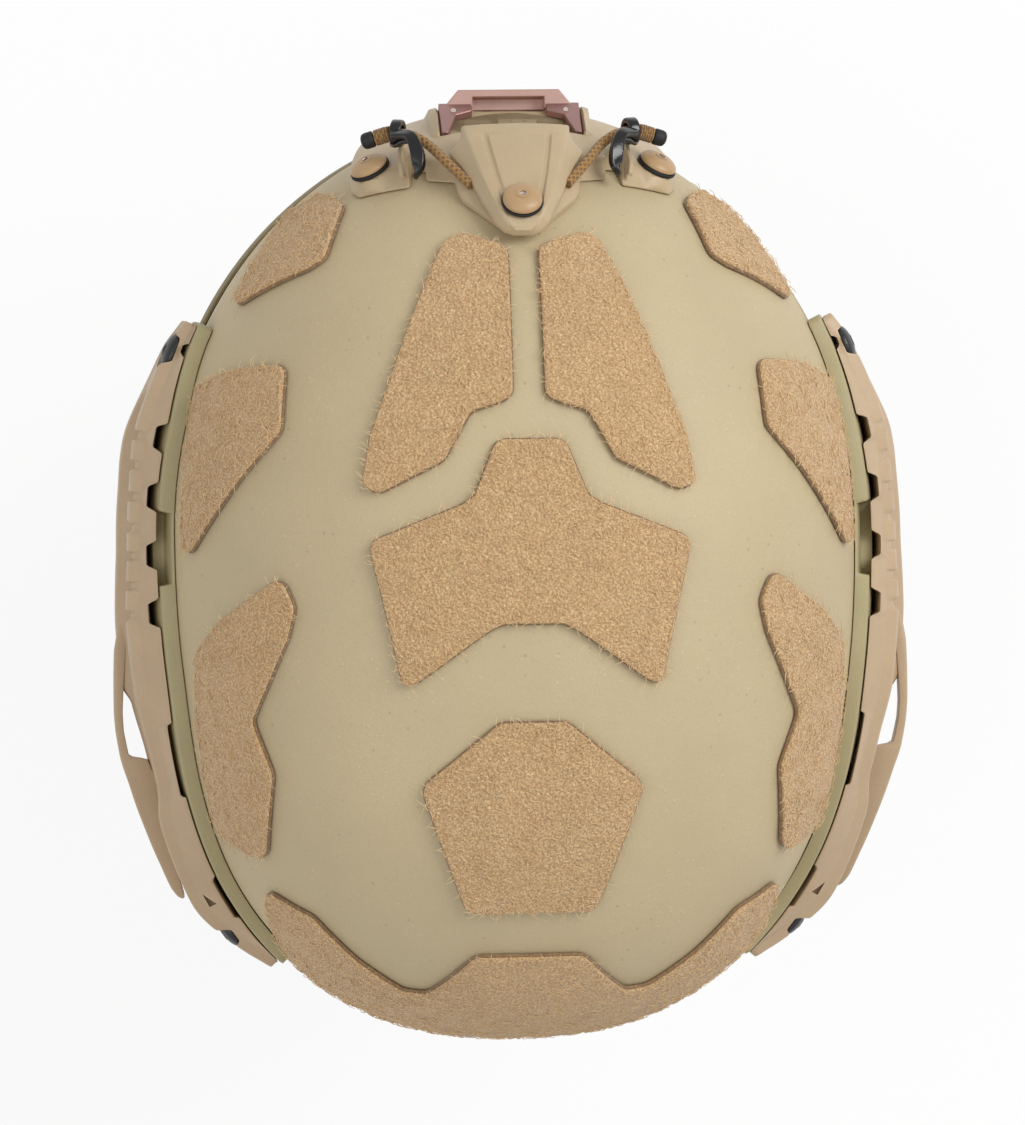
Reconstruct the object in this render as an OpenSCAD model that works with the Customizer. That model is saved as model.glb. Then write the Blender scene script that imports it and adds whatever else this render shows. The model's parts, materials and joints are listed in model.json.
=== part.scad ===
// High cut combat helmet with rails, front mount, loop patches, pads and chin harness.
// Origin: centre of the head cavity, level with the widest line of the shell.
// The front faces -Y, the crown is +Z and the wearer's left is +X. Millimetres.

/* [Shell] */
// Half width of the shell at its widest line
shell_half_w = 109; // [104:0.5:113]
// Reach of the shell ahead of the head centre
shell_front = 128; // [123:0.5:132]
// Reach of the shell behind the head centre
shell_back = 152; // [147:0.5:156]
// Height of the crown over the head centre
shell_up = 108; // [104:0.5:113]
// Wall of the laminated shell
shell_t = 8; // [6:0.5:10]
// Drop of the brow rim below the widest line, in degrees
brow_drop = 9; // [7:0.5:11]
// Drop of the ear cut rim below the widest line, in degrees
ear_drop = 2.5; // [2:0.1:3.5]
// Drop of the nape rim below the widest line, in degrees
nape_drop = 22; // [19:0.5:25]
// Wall of the rubber edge trim
trim_wall = 1.6; // [1.2:0.1:2.2]
// Height of the trim lips on the shell
trim_lip = 6.5; // [5:0.5:7]

/* [Rails] */
// Front end of the rails, along Y
rail_start = -63; // [-66:1:-60]
// Rear end of the rails, along Y
rail_end = 130; // [126:1:134]
// Height of the rail's middle over the ear
rail_level = 21; // [18:0.5:24]
// Drop of the rail from the ear to its rear end
rail_fall = 26; // [20:1:30]
// Half height of the rail over the ear
rail_half_h = 17; // [15:0.5:19]
// Reach of the rail's upper lip from the shell, over the ear
rail_lip_reach = 11.5; // [10.8:0.1:12.5]
// Further reach of the lower lip
rail_lower_extra = 2; // [1.5:0.1:3]
// Depth of the accessory groove behind the upper lip
rail_groove_depth = 3.5; // [2:0.1:4]
// Spacing of the index notches in the upper lip
notch_pitch = 8.8; // [8:0.1:9.6]
// Thickness of the strip between shell and rail
backer_t = 4.6; // [3.5:0.1:5.5]

/* [Fasteners] */
// Diameter of the domed screw heads
screw_head_d = 12.5; // [11:0.5:14]
// Height of the domed screw heads
screw_head_h = 3.6; // [2.5:0.1:5]
// Diameter of the screw shanks
screw_shank_d = 5; // [4:0.1:6]
// Diameter of the rail screw holes in the shell
screw_hole_d = 5.6; // [5.2:0.1:7]
// Diameter of the flanged nuts inside the shell
nut_flange_d = 13; // [11:0.5:15]
// Thickness of the rubber washers of the front screws
washer_t = 1; // [0.6:0.1:1.6]

/* [Patches] */
// Thickness of the loop patches with their backing
patch_t = 1.8; // [1.2:0.1:2.6]

/* [Front mount] */
// Thickness of the wings on the brow
wing_t = 4; // [3:0.1:5]
// Width of the aluminium plate at its top edge
plate_top_w = 31; // [27:0.5:34]
// Width of the aluminium plate at its shoulders
plate_w = 40; // [38:0.5:44]
// Height of the aluminium plate
plate_h = 44; // [38:1:48]
// Thickness of the aluminium plate, front to back
plate_t = 6; // [5.6:0.1:7.5]
// Width of the slot in the plate for a night vision arm
plate_slot_w = 22; // [18:0.5:24]
// Diameter of the elastic cords
cord_d = 3; // [2.5:0.1:3.4]

/* [Liner] */
// Thickness of the comfort pads at their crown
pad_t = 18; // [14:0.5:22]
// Thickness of the hook discs that hold the pads
disc_t = 1; // [0.6:0.1:1.4]

/* [Fit band] */
// Diameter of the fit dial's knob
knob_d = 34; // [28:1:38]
// Depth of the knob
knob_depth = 11; // [8:0.5:14]
// Teeth on the dial's pinion
pinion_teeth = 10; // [10:1:10]
// Module of the pinion and rack teeth
tooth_module = 1.25; // [1.1:0.05:1.3]
// Height of the fit band
band_h = 16; // [12:0.5:18]
// Thickness of the fit band
band_t = 3; // [2.4:0.1:3.4]
// Travel of each side of the fit band
band_travel = 10; // [6:0.5:12]

/* [Chin harness] */
// Width of the harness webbing
web_w = 19; // [16:0.5:22]
// Thickness of the harness webbing
web_t = 1.6; // [1.2:0.1:2]
// Travel of the buckle tongue out of its socket
tongue_travel = 14; // [10:1:18]
// Travel of the rear strap adjusters
adjuster_travel = 16; // [8:1:24]

/* [Hidden] */
$fn = 48;

gap = 0.3;
dome_power = 2.25;
shell_down = 210;
map_r = 110;

// Vectors and easing
function unit(v) = v / norm(v);
function lerp(a, b, t) = a + (b - a) * t;
function level_at(list, x) = x >= list[len(list) - 1][0] ? list[len(list) - 1][1]
    : x <= list[0][0] ? list[0][1]
    : [for (k = [0:len(list) - 2]) if (x >= list[k][0] && x < list[k + 1][0])
        lerp(list[k][1], list[k + 1][1], (x - list[k][0]) / (list[k + 1][0] - list[k][0]))][0];
function smooth(t) = let(s = min(max(t, 0), 1)) s * s * (3 - 2 * s);
function total(v) = v * [for (x = v) 1];

// Shell surface: a superellipse in plan under a superellipse dome
function plan_power(y) = y < 0 ? 2.2 : 2.35;
function plan_reach(y) = y < 0 ? shell_front : shell_back;
function dome_reach(z) = z > 0 ? shell_up : shell_down;
function plan_ratio(x, y) = let(e = plan_power(y))
    pow(pow(abs(x) / shell_half_w, e) + pow(abs(y) / plan_reach(y), e), 1 / e);
function skin_radius(d) = pow(pow(plan_ratio(d[0], d[1]), dome_power)
    + pow(abs(d[2]) / dome_reach(d[2]), dome_power), -1 / dome_power);
function skin_normal(p) = let(
    e = plan_power(p[1]),
    k = pow(max(plan_ratio(p[0], p[1]), 0.001), dome_power - e),
    b = plan_reach(p[1]),
    h = dome_reach(p[2]))
    unit([k * sign(p[0]) * pow(abs(p[0]) / shell_half_w, e - 1) / shell_half_w,
          k * sign(p[1]) * pow(abs(p[1]) / b, e - 1) / b,
          sign(p[2]) * pow(abs(p[2]) / h, dome_power - 1) / h]);
function lifted(d, t) = let(p = d * skin_radius(d)) p + t * skin_normal(p);

// Flat map of the dome: distance from the crown is the arc on a ball of radius map_r
function map_dir(uv) = let(r = norm(uv), a = r / map_r * 180 / PI)
    r < 0.01 ? [0, 0, 1] : [sin(a) * uv[0] / r, sin(a) * uv[1] / r, cos(a)];
function skin(uv, t) = lifted(map_dir(uv), t);

// Side of the shell by position along Y and height
function side_x(y, z) = let(
    e = plan_power(y),
    r = pow(1 - pow(abs(z) / dome_reach(z), dome_power), 1 / dome_power))
    shell_half_w * pow(max(pow(r, e) - pow(abs(y) / plan_reach(y), e), 0), 1 / e);
function side_point(y, z) = [side_x(y, z), y, z];
function side_out(y, z) = let(n = skin_normal(side_point(y, z))) unit([n[0], n[1], 0]);
function side_section(y, mid, shape) = let(h = side_out(y, mid), x0 = side_x(y, mid))
    [for (s = shape) let(z = mid + s[1], lean = (side_x(y, z) - x0) * h[0])
        [x0, y, z] + (s[0] + lean) * h];

// Solids from rings of points; the faces are turned outward whatever the winding
function face_volume(p, f) = [for (k = [1:len(f) - 2]) p[f[0]] * cross(p[f[k]], p[f[k + 1]])];
function turned(p, faces) = total([for (f = faces) each face_volume(p, f)]) > 0
    ? [for (f = faces) [for (k = [len(f) - 1:-1:0]) f[k]]]
    : faces;
function wall_faces(n, m) = [for (j = [0:m - 2], i = [0:n - 1])
    let(a = j * n + i, b = j * n + (i + 1) % n) each [[a, b, b + n], [a, b + n, a + n]]];
function cap_faces(n, m) = [[for (i = [n - 1:-1:0]) i], [for (i = [0:n - 1]) (m - 1) * n + i]];
function strip_caps(n, m) = let(h = n / 2, e = (m - 1) * n) [for (k = [0:h - 2])
    each [[n - 1 - k, n - 2 - k, k + 1, k], [e + k, e + k + 1, e + n - 2 - k, e + n - 1 - k]]];

module loft(rings, strip = false) {
    n = len(rings[0]);
    m = len(rings);
    p = [for (r = rings) each r];
    faces = concat(wall_faces(n, m), strip ? strip_caps(n, m) : cap_faces(n, m));
    polyhedron(p, turned(p, faces));
}

// A closed ring of sections
module hoop(rings) {
    n = len(rings[0]);
    m = len(rings);
    p = [for (r = rings) each r];
    faces = [for (j = [0:m - 1], i = [0:n - 1])
        let(a = j * n + i, b = j * n + (i + 1) % n, c = ((j + 1) % m) * n + (i + 1) % n,
            d = ((j + 1) % m) * n + i)
        each [[a, b, c], [a, c, d]]];
    polyhedron(p, turned(p, faces));
}

// A round bar or cord along points
module tube(path, d, sides) {
    last = len(path) - 1;
    rings = [for (k = [0:last]) let(
        t = unit(path[min(k + 1, last)] - path[max(k - 1, 0)]),
        a = unit(cross(t, [0.31, 0.17, 0.93])),
        b = cross(t, a))
        [for (i = [0:sides - 1]) path[k] + d / 2 * (cos(360 * i / sides) * a
            + sin(360 * i / sides) * b)]];
    loft(rings);
}

// A flat strap along points; across gives its width direction at each point
module ribbon(path, across, w, t) {
    last = len(path) - 1;
    rings = [for (k = [0:last]) let(
        dir = unit(path[min(k + 1, last)] - path[max(k - 1, 0)]),
        a = unit(across[k] - (across[k] * dir) * dir),
        n = cross(dir, a))
        [path[k] - a * w / 2 - n * t / 2, path[k] + a * w / 2 - n * t / 2,
         path[k] + a * w / 2 + n * t / 2, path[k] - a * w / 2 + n * t / 2]];
    loft(rings);
}

// Outlines with rounded corners and no long edges
function rounded(pts, r, n) = let(c = len(pts)) [for (i = [0:c - 1]) let(
    p = pts[i],
    q = pts[(i + c - 1) % c],
    s = pts[(i + 1) % c],
    a = unit(q - p),
    b = unit(s - p),
    half = acos(min(max(a * b, -0.999), 0.999)) / 2,
    d = min(r / tan(half), 0.45 * norm(q - p), 0.45 * norm(s - p)))
    each [for (k = [0:n]) let(t = k / n)
        (1 - t) * (1 - t) * (p + a * d) + 2 * t * (1 - t) * p + t * t * (p + b * d)]];
function divided(pts, step) = let(c = len(pts)) [for (i = [0:c - 1]) let(
    p = pts[i],
    q = pts[(i + 1) % c],
    n = max(ceil(norm(q - p) / step), 1))
    each [for (k = [0:n - 1]) lerp(p, q, k / n)]];
function box_outline(c, w, h) = [c + [w / 2, -h / 2], c + [w / 2, h / 2], c + [-w / 2, h / 2],
    c + [-w / 2, -h / 2]];
function disc_outline(c, r, n) = [for (k = [0:n - 1]) c + r * [cos(360 * k / n), sin(360 * k / n)]];

// A piece on the dome from an outline in the flat map; profile lists [scale, offset] from
// the middle of its back to the middle of its front
module dome_piece(outline, centre, profile) {
    n = len(outline);
    m = len(profile);
    p = concat(
        [for (s = profile, q = outline) skin(centre + s[0] * (q - centre), s[1])],
        [skin(centre, profile[0][1]), skin(centre, profile[m - 1][1])]);
    faces = concat(wall_faces(n, m),
        [for (i = [0:n - 1]) [n * m, (i + 1) % n, i]],
        [for (i = [0:n - 1]) [n * m + 1, (m - 1) * n + i, (m - 1) * n + (i + 1) % n]]);
    polyhedron(p, turned(p, faces));
}

// A slab on the dome between two edges of the flat map, station by station along u
module dome_slab(us, from, to, rows, low, high) {
    rings = [for (u = us) let(a = from(u), b = to(u))
        concat([for (r = rows) skin([u, lerp(a, b, r)], low)],
            [for (k = [len(rows) - 1:-1:0]) let(v = lerp(a, b, rows[k])) skin([u, v], high(u, v))])];
    loft(rings, true);
}

// Places children with +Z along the normal of the skin at a point
module on_skin(p, off) {
    n = skin_normal(p);
    translate(p + off * n) rotate([0, acos(n[2]), atan2(n[1], n[0])]) children();
}

module both_sides() {
    children();
    mirror([1, 0, 0]) children();
}

// Rim of the shell by azimuth from the front
function rim_rise(a) = let(w = abs(a))
    lerp(-brow_drop, -ear_drop, smooth((w - 28) / 30))
    + (ear_drop - nape_drop) * smooth((w - 112) / 55);
function rim_dir(a, up) = let(e = rim_rise(a) + up) [sin(a) * cos(e), -cos(a) * cos(e), sin(e)];
shell_sectors = 64;
shell_rings = 13;
function sector(i) = 360 * i / shell_sectors - 180;

// Fasteners: skin points of the screws
rail_front_y = -54;
rail_rear_y = 118;
function rail_mid(y) = rail_level - rail_fall * smooth((y - 40) / 95);
rail_front_at = side_point(rail_front_y, rail_mid(rail_front_y));
rail_rear_at = side_point(rail_rear_y, rail_mid(rail_rear_y));
centre_screw_at = skin([0, -91.5], 0);
wing_screw_at = skin([45, -112.6], 0);
shell_bore_l = shell_t + 6;

module screw_bores(d) {
    both_sides() {
        on_skin(rail_front_at, -shell_bore_l) cylinder(h = 2 * shell_bore_l, d = d);
        on_skin(rail_rear_at, -shell_bore_l) cylinder(h = 2 * shell_bore_l, d = d);
        on_skin(wing_screw_at, -shell_bore_l) cylinder(h = 2 * shell_bore_l, d = d);
    }
    on_skin(centre_screw_at, -shell_bore_l) cylinder(h = 2 * shell_bore_l, d = d);
}

module shell() color([0.74, 0.69, 0.55]) difference() {
    shell_body();
    screw_bores(screw_hole_d);
}

module shell_body() {
    n = shell_sectors;
    m = shell_rings;
    outer = [for (j = [0:m - 1], i = [0:n - 1]) let(a = sector(i))
        lifted(rim_dir(a, (90 - rim_rise(a)) * j / m), 0)];
    inner = [for (j = [0:m - 1], i = [0:n - 1]) let(a = sector(i))
        lifted(rim_dir(a, (90 - rim_rise(a)) * j / m), -shell_t)];
    p = concat(outer, inner, [[0, 0, shell_up], [0, 0, shell_up - shell_t]]);
    k = n * m;
    faces = concat(
        wall_faces(n, m),
        [for (f = wall_faces(n, m)) [f[0] + k, f[2] + k, f[1] + k]],
        [for (i = [0:n - 1]) [(m - 1) * n + i, (m - 1) * n + (i + 1) % n, 2 * k]],
        [for (i = [0:n - 1]) [k + (m - 1) * n + (i + 1) % n, k + (m - 1) * n + i, 2 * k + 1]],
        [for (i = [0:n - 1]) each [[(i + 1) % n, i, k + i], [(i + 1) % n, k + i, k + (i + 1) % n]]]);
    polyhedron(p, turned(p, faces));
}

// Rubber channel round the rim: a U over the shell's edge
trim_shape = [[gap + trim_wall, trim_lip], [gap + trim_wall + 0.3, 1], [gap + trim_wall - 0.4, -trim_wall - gap],
    [-shell_t - gap - trim_wall + 0.4, -trim_wall - gap], [-shell_t - gap - trim_wall - 0.3, 1],
    [-shell_t - gap - trim_wall, trim_lip], [-shell_t - gap, trim_lip], [-shell_t - gap, -gap],
    [gap, -gap], [gap, trim_lip]];

module edge_trim() color([0.55, 0.50, 0.38])
    hoop([for (i = [0:shell_sectors - 1]) let(
        a = sector(i),
        d = rim_dir(a, 0),
        p = lifted(d, 0),
        n = skin_normal(p),
        up = unit(lifted(rim_dir(a, 4), 0) - p),
        w = unit(up - (up * n) * n))
        [for (s = trim_shape) p + s[0] * n + s[1] * w]]);

// Rails
function rail_half(y) = rail_half_h * lerp(0.6, 1, smooth((y - rail_start) / 30))
    * lerp(1, 0.6, smooth((y - 85) / 45));
function near(y, list, half) = len([for (c = list) if (abs(y - c) < half) 1]) > 0;
ladder = [for (k = [0:6]) -29.2 + notch_pitch * k];
scallops = [for (k = [0:3]) -29.4 + 2 * notch_pitch * k];
notch_half = 1.1;
scallop_half = 3.2;
edge_run = 0.5;
rail_inner = backer_t + gap;

// Reach of the lip along Y as a share of its reach over the ear, and places of the slits
lip_share = [[rail_start, 0.65], [-56, 0.85], [-45, 0.94], [-30, 1.09], [-14, 1.01], [60, 1], [80, 0.94],
    [90, 1.01], [100, 1.14], [110, 1.23], [118, 1.12], [126, 0.82], [rail_end, 0.65]];
slits = [[57, 79], [104, 116]];
slit_bite = 1.3;
front_bite_y = -55.5;
strip_from = 44;
function in_slit(y) = len([for (c = slits) if (y > c[0] - 0.01 && y < c[1] + 0.01) 1]) > 0;

function rail_shape(y) = let(
    k = rail_half(y) / 17,
    lip = rail_lip_reach * level_at(lip_share, y),
    foot = lip + rail_lower_extra * smooth((y + 50) / 30) * (1 - smooth((y - strip_from) / 6)),
    groove = rail_groove_depth * smooth((y + 44) / 12) * (1 - smooth((y - 62) / 14)),
    notch = near(y, ladder, notch_half + 0.01) ? 1.6 : 0,
    bite = near(y, scallops, scallop_half + 0.01) ? 3 : near(y, [front_bite_y], 1.51) ? 1.6
        : in_slit(y) ? slit_bite : 0)
    [[rail_inner + bite, 17 * k - bite], [lip - 3.4, 9.5 * k], [lip - 0.3 - notch, 7.6 * k],
     [lip - notch, 6.6 * k], [lip - notch, 3 * k], [lip - 0.4 - groove, 1.5 * k],
     [lip - 0.4 - groove, -6 * k], [foot - 0.4, -7.5 * k], [foot, -8.8 * k], [foot, -13 * k],
     [foot - 2.6, -16.2 * k], [rail_inner, -17 * k], [rail_inner, -8.5 * k], [rail_inner, 0],
     [rail_inner, 8.5 * k]];

function sorted(v) = len(v) < 2 ? v : let(p = v[floor(len(v) / 2)])
    concat(sorted([for (x = v) if (x < p) x]), [p], sorted([for (x = v) if (x > p) x]));
rail_even = [for (k = [0:14]) lerp(rail_start, rail_end, k / 14)];
rail_marks = concat(
    [for (c = slits) each [c[0] - 0.4, c[0], c[1], c[1] + 0.4]],
    [front_bite_y - 2.2, front_bite_y - 1.5, front_bite_y + 1.5, front_bite_y + 2.2],
    [for (c = ladder) each [c - notch_half - edge_run, c - notch_half, c + notch_half, c + notch_half + edge_run]],
    [for (c = scallops) each [c - scallop_half - 2, c - scallop_half, c + scallop_half, c + scallop_half + 2]]);
rail_stations = sorted(concat(rail_marks, [for (y = rail_even) if (!near(y, rail_marks, 3)) y]));

// Lower strip that leaves the rail behind the ear and ends free, as [y, inner reach, outer reach, half height]
strip_table = [[strip_from, 10, 13.3, 3.6], [50, 12.9, 15.6, 3.6], [57, 13.5, 16.2, 3.6], [64.5, 13.6, 16.6, 3.6],
    [65.5, 9, 16.7, 3.6], [72, 9, 17, 3.6], [85, 10, 17.7, 3.4], [96, 13, 18.4, 3.2], [102, 15, 18.9, 2.8],
    [104.5, 15.6, 18.5, 2.2], [105.8, 16.2, 17.9, 1.4]];
strip_drop = 10.4;
function strip_shape(r) = [[r[1], -strip_drop + r[3]], [r[2] - 0.6, -strip_drop + r[3]],
    [r[2], -strip_drop + r[3] - 0.8], [r[2], -strip_drop - r[3] + 0.8], [r[2] - 0.6, -strip_drop - r[3]],
    [r[1], -strip_drop - r[3]]];

// Small pocket in the top of the rail ahead of its rear screw
pocket_y = 107;
module rail_body() difference() {
    union() {
        loft([for (y = rail_stations) side_section(y, rail_mid(y), rail_shape(y))]);
        loft([for (r = strip_table) side_section(r[0], rail_mid(r[0]), strip_shape(r))]);
    }
    translate(side_section(pocket_y, rail_mid(pocket_y), [[9.6, 6.8]])[0]) rotate([0, 0, 28])
        cube([2.4, 8, 4], center = true);
}

rail_seat_front = 7;
rail_seat_rear = 9.4;
module one_rail() difference() {
    rail_body();
    on_skin(rail_front_at, 2) cylinder(h = 20, d = screw_hole_d);
    on_skin(rail_rear_at, 2) cylinder(h = 20, d = screw_hole_d);
    on_skin(rail_front_at, rail_seat_front) cylinder(h = 20, d = screw_head_d + 1);
    on_skin(rail_rear_at, rail_seat_rear) cylinder(h = 20, d = screw_head_d + 1);
}

module left_rail() color([0.66, 0.57, 0.48]) one_rail();
module right_rail() color([0.66, 0.57, 0.48]) mirror([1, 0, 0]) one_rail();

// Strip between shell and rail, with a window over the ear
window_from = -7;
window_to = 14.5;
function backer_shape(y) = let(
    k = rail_half(y),
    cut = y > window_from && y < window_to ? backer_t - 1.2 : 0)
    [[gap, -k], [backer_t, -k], [backer_t, -k / 2], [backer_t, 0], [backer_t, k - 9],
     [backer_t - cut, k - 8.6], [backer_t - cut, k + 1], [gap, k + 1], [gap, k / 2], [gap, 0], [gap, -k / 2]];
backer_stations = sorted(concat([for (k = [0:24]) let(y = lerp(rail_start - 1, rail_end + 1, k / 24))
    if (!near(y, [window_from, window_to], 2)) y],
    [window_from - 0.01, window_from + 0.01, window_to - 0.01, window_to + 0.01]));

module one_backer() difference() {
    loft([for (y = backer_stations) side_section(y, rail_mid(y), backer_shape(y))]);
    on_skin(rail_front_at, -2) cylinder(h = 20, d = screw_hole_d);
    on_skin(rail_rear_at, -2) cylinder(h = 20, d = screw_hole_d);
}
module left_rail_backer() color([0.70, 0.66, 0.50]) one_backer();
module right_rail_backer() color([0.70, 0.66, 0.50]) mirror([1, 0, 0]) one_backer();

// Screws and nuts: a domed head with a hex socket on a plain shank
module dome_screw(grip) difference() {
    rotate_extrude() polygon(concat([[0, -grip], [screw_shank_d / 2, -grip], [screw_shank_d / 2, 0],
        [screw_head_d / 2, 0]],
        [for (k = [0:8]) let(a = 90 * k / 8) [screw_head_d / 2 * cos(a), 0.6 + (screw_head_h - 0.6) * sin(a)]]));
    translate([0, 0, screw_head_h - 1.8]) cylinder(h = 3, d = 3, $fn = 6);
}
nut_neck_d = 8;
module flange_nut(reach) difference() {
    union() {
        cylinder(h = 2, d = nut_flange_d);
        cylinder(h = reach, d = nut_neck_d);
    }
    translate([0, 0, -1]) cylinder(h = reach + 2, d = screw_shank_d + 0.2);
}
anchor_t = 1.4;
flange_room = 0.9;
anchor_seat = -shell_t - flange_room;
nut_seat = anchor_seat - anchor_t - 0.1;

module rail_screws() color([0.10, 0.10, 0.11]) both_sides() {
    on_skin(rail_front_at, rail_seat_front + 0.1) dome_screw(rail_seat_front - nut_seat + 1.5);
    on_skin(rail_rear_at, rail_seat_rear + 0.1) dome_screw(rail_seat_rear - nut_seat + 1.5);
}
module rail_nuts() color([0.16, 0.16, 0.17]) both_sides() {
    on_skin(rail_front_at, nut_seat - 2) flange_nut(2);
    on_skin(rail_rear_at, nut_seat - 2) flange_nut(2);
}

// Front bracket: wings that hug the brow, a tongue under the cover and a seat for the plate
bracket_top = [[0, -88], [4, -88.3], [7.5, -90.2], [17, -98.6], [18.3, -101], [19.6, -107], [28.4, -108.5],
    [28.6, -113], [33.5, -113], [33.7, -106], [51.5, -105.8], [54, -108.5]];
bracket_foot = [[0, -182], [30, -180], [42, -174], [50, -165], [54, -150]];
bracket_half = [0, 4, 7.5, 12, 17, 18.3, 19.6, 24, 28.4, 28.6, 33.5, 33.7, 34.2, 36, 36.5, 41, 46, 51.5, 54];
bracket_us = concat([for (k = [len(bracket_half) - 1:-1:1]) -bracket_half[k]], bracket_half);
fin_h = 2.4;
function wing_height(u, v) = let(w = abs(u))
    gap + wing_t + (w > 34 && w < 36.2 && v > -118 ? fin_h : 0);

// The seat rises from the plate's back up the brow, with a rib beside each cheek of the plate
plate_back_y = -shell_front - 1.5;
seat_y = plate_back_y + 0.1;
plate_top_z = 34;
seat_foot_z = -9;
slope_angle = 56;
slope_up = [cos(slope_angle), sin(slope_angle)];
cheek_t = 2.4;
cheek_l = 18;
rib_at = 22;
rib_w = 2.6;
function front_depth(x, z) = let(
    e = plan_power(-1),
    r = pow(1 - pow(abs(z) / dome_reach(z), dome_power), 1 / dome_power))
    shell_front * pow(pow(r, e) - pow(abs(x) / shell_half_w, e), 1 / e);
seat_half = [0, 7, 14, rib_at - 0.1, rib_at, rib_at + rib_w];
seat_xs = concat([for (k = [len(seat_half) - 1:-1:1]) -seat_half[k]], seat_half);
seat_zs = [seat_foot_z, 2, 13, 24, 35, 48.5];
function seat_rise(x) = abs(x) >= rib_at ? cheek_t + 0.6 : 0;
function slope_point(t, rise) = [seat_y + t * slope_up[0] - rise * slope_up[1],
    plate_top_z - 2 + t * slope_up[1] + rise * slope_up[0]];
module bracket_seat() loft([for (x = seat_xs) let(a = slope_point(0, seat_rise(x)),
    b = slope_point(9, seat_rise(x)), c = slope_point(cheek_l, seat_rise(x)))
    concat([for (z = seat_zs) [x, -front_depth(x, z) - gap - 1, z]],
    [[x, c[0], c[1]], [x, b[0], b[1]], [x, a[0], a[1]], [x, seat_y, 20], [x, seat_y, 6], [x, seat_y, seat_foot_z]])],
    true);

module front_bracket() color([0.66, 0.58, 0.46]) difference() {
    union() {
        dome_slab(bracket_us, function(u) level_at(bracket_top, abs(u)), function(u) level_at(bracket_foot, abs(u)),
            [0, 0.15, 0.3, 0.45, 0.6, 0.8, 1], gap + 0.1, function(u, v) wing_height(u, v));
        bracket_seat();
    }
    translate([-plate_w / 2 - 0.5, seat_y - 20, seat_foot_z - 20])
        cube([plate_w + 1, 20, plate_top_z - seat_foot_z + 18]);
    translate([-plate_slot_w / 2, seat_y - 1, plate_top_z - 6]) cube([plate_slot_w, 2.6, 12]);
    translate([0.1 - rib_at, slope_point(0, 0)[0], slope_point(0, 0)[1]]) rotate([slope_angle, 0, 0])
        cube([2 * rib_at - 0.2, cheek_l + 1, 12]);
    on_skin(centre_screw_at, -2) cylinder(h = 20, d = screw_hole_d);
    both_sides() on_skin(wing_screw_at, -2) cylinder(h = 20, d = screw_hole_d);
}

// Aluminium plate: a flat plate with a slot, a window, and two cheeks that run up beside the recess
cheek_shape = [[plate_slot_w / 2 + 0.4, 0], [rib_at - 0.4, 0], [rib_at - 0.6, cheek_l], [rib_at - 2.6, cheek_l],
    [16.5, 7], [plate_slot_w / 2 + 0.4, 4.5]];
module cheek() translate([0, slope_point(0, 0.1)[0], slope_point(0, 0.1)[1]]) rotate([slope_angle, 0, 0])
    linear_extrude(cheek_t) polygon(cheek_shape);
module plate_block() translate([0, 0, plate_top_z - plate_h]) linear_extrude(plate_h) polygon([
    [-plate_w / 2, plate_back_y], [-plate_w / 2 + 0.5, plate_back_y - 1.2],
    [-plate_top_w / 2, plate_back_y - plate_t], [plate_top_w / 2, plate_back_y - plate_t],
    [plate_w / 2 - 0.5, plate_back_y - 1.2], [plate_w / 2, plate_back_y]]);
module shroud_plate() color([0.80, 0.64, 0.60]) {
    difference() {
        plate_block();
        translate([-plate_slot_w / 2, plate_back_y - plate_t + 2.3, plate_top_z - 6])
            cube([plate_slot_w, plate_t, 12]);
        translate([0, plate_back_y - plate_t - 1, plate_top_z - 24]) rotate([-90, 0, 0])
            linear_extrude(4) square([plate_slot_w - 6, 20], center = true);
    }
    both_sides() cheek();
    both_sides() translate([17.2, plate_back_y + 0.8, plate_top_z + 2]) cylinder(h = 2, d = 1.8);
}

// Shroud cover: a tapering hood from its front edge back to a rounded tab, as
// [v, half width at its foot, half width of its top, rise]
cover_table = [[-83.6, 3, 1.8, 2.6], [-84.8, 5.4, 4, 3.6], [-86.8, 7.6, 5.8, 4.6], [-90, 9, 7.3, 5.2],
    [-95, 11.2, 9, 5.4], [-100, 13.4, 10.8, 5.6], [-106, 16, 12.6, 6], [-113, 20, 14.6, 6.6], [-119, 16.4, 15.6, 7]];
cover_low = gap + wing_t + gap;
groove_share = 0.62;
module cover_body() loft([for (c = cover_table) let(
    us = [-c[1], -c[2], -groove_share * c[2] - 1, -groove_share * c[2], -groove_share * c[2] + 1,
        groove_share * c[2] - 1, groove_share * c[2], groove_share * c[2] + 1, c[2], c[1]],
    rs = [0.35, 1, 1, 0.9, 1, 1, 0.9, 1, 1, 0.35])
    concat([for (u = us) skin([u, c[0]], cover_low)],
        [for (j = [9:-1:0]) skin([us[j], c[0]], cover_low + rs[j] * c[3])])], true);
cover_seat = cover_low + 5;
module shroud_cover() color([0.66, 0.58, 0.46]) difference() {
    cover_body();
    on_skin(centre_screw_at, 1) cylinder(h = 20, d = screw_hole_d);
    on_skin(centre_screw_at, cover_seat) cylinder(h = 12, d = screw_head_d + 1);
}

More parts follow.
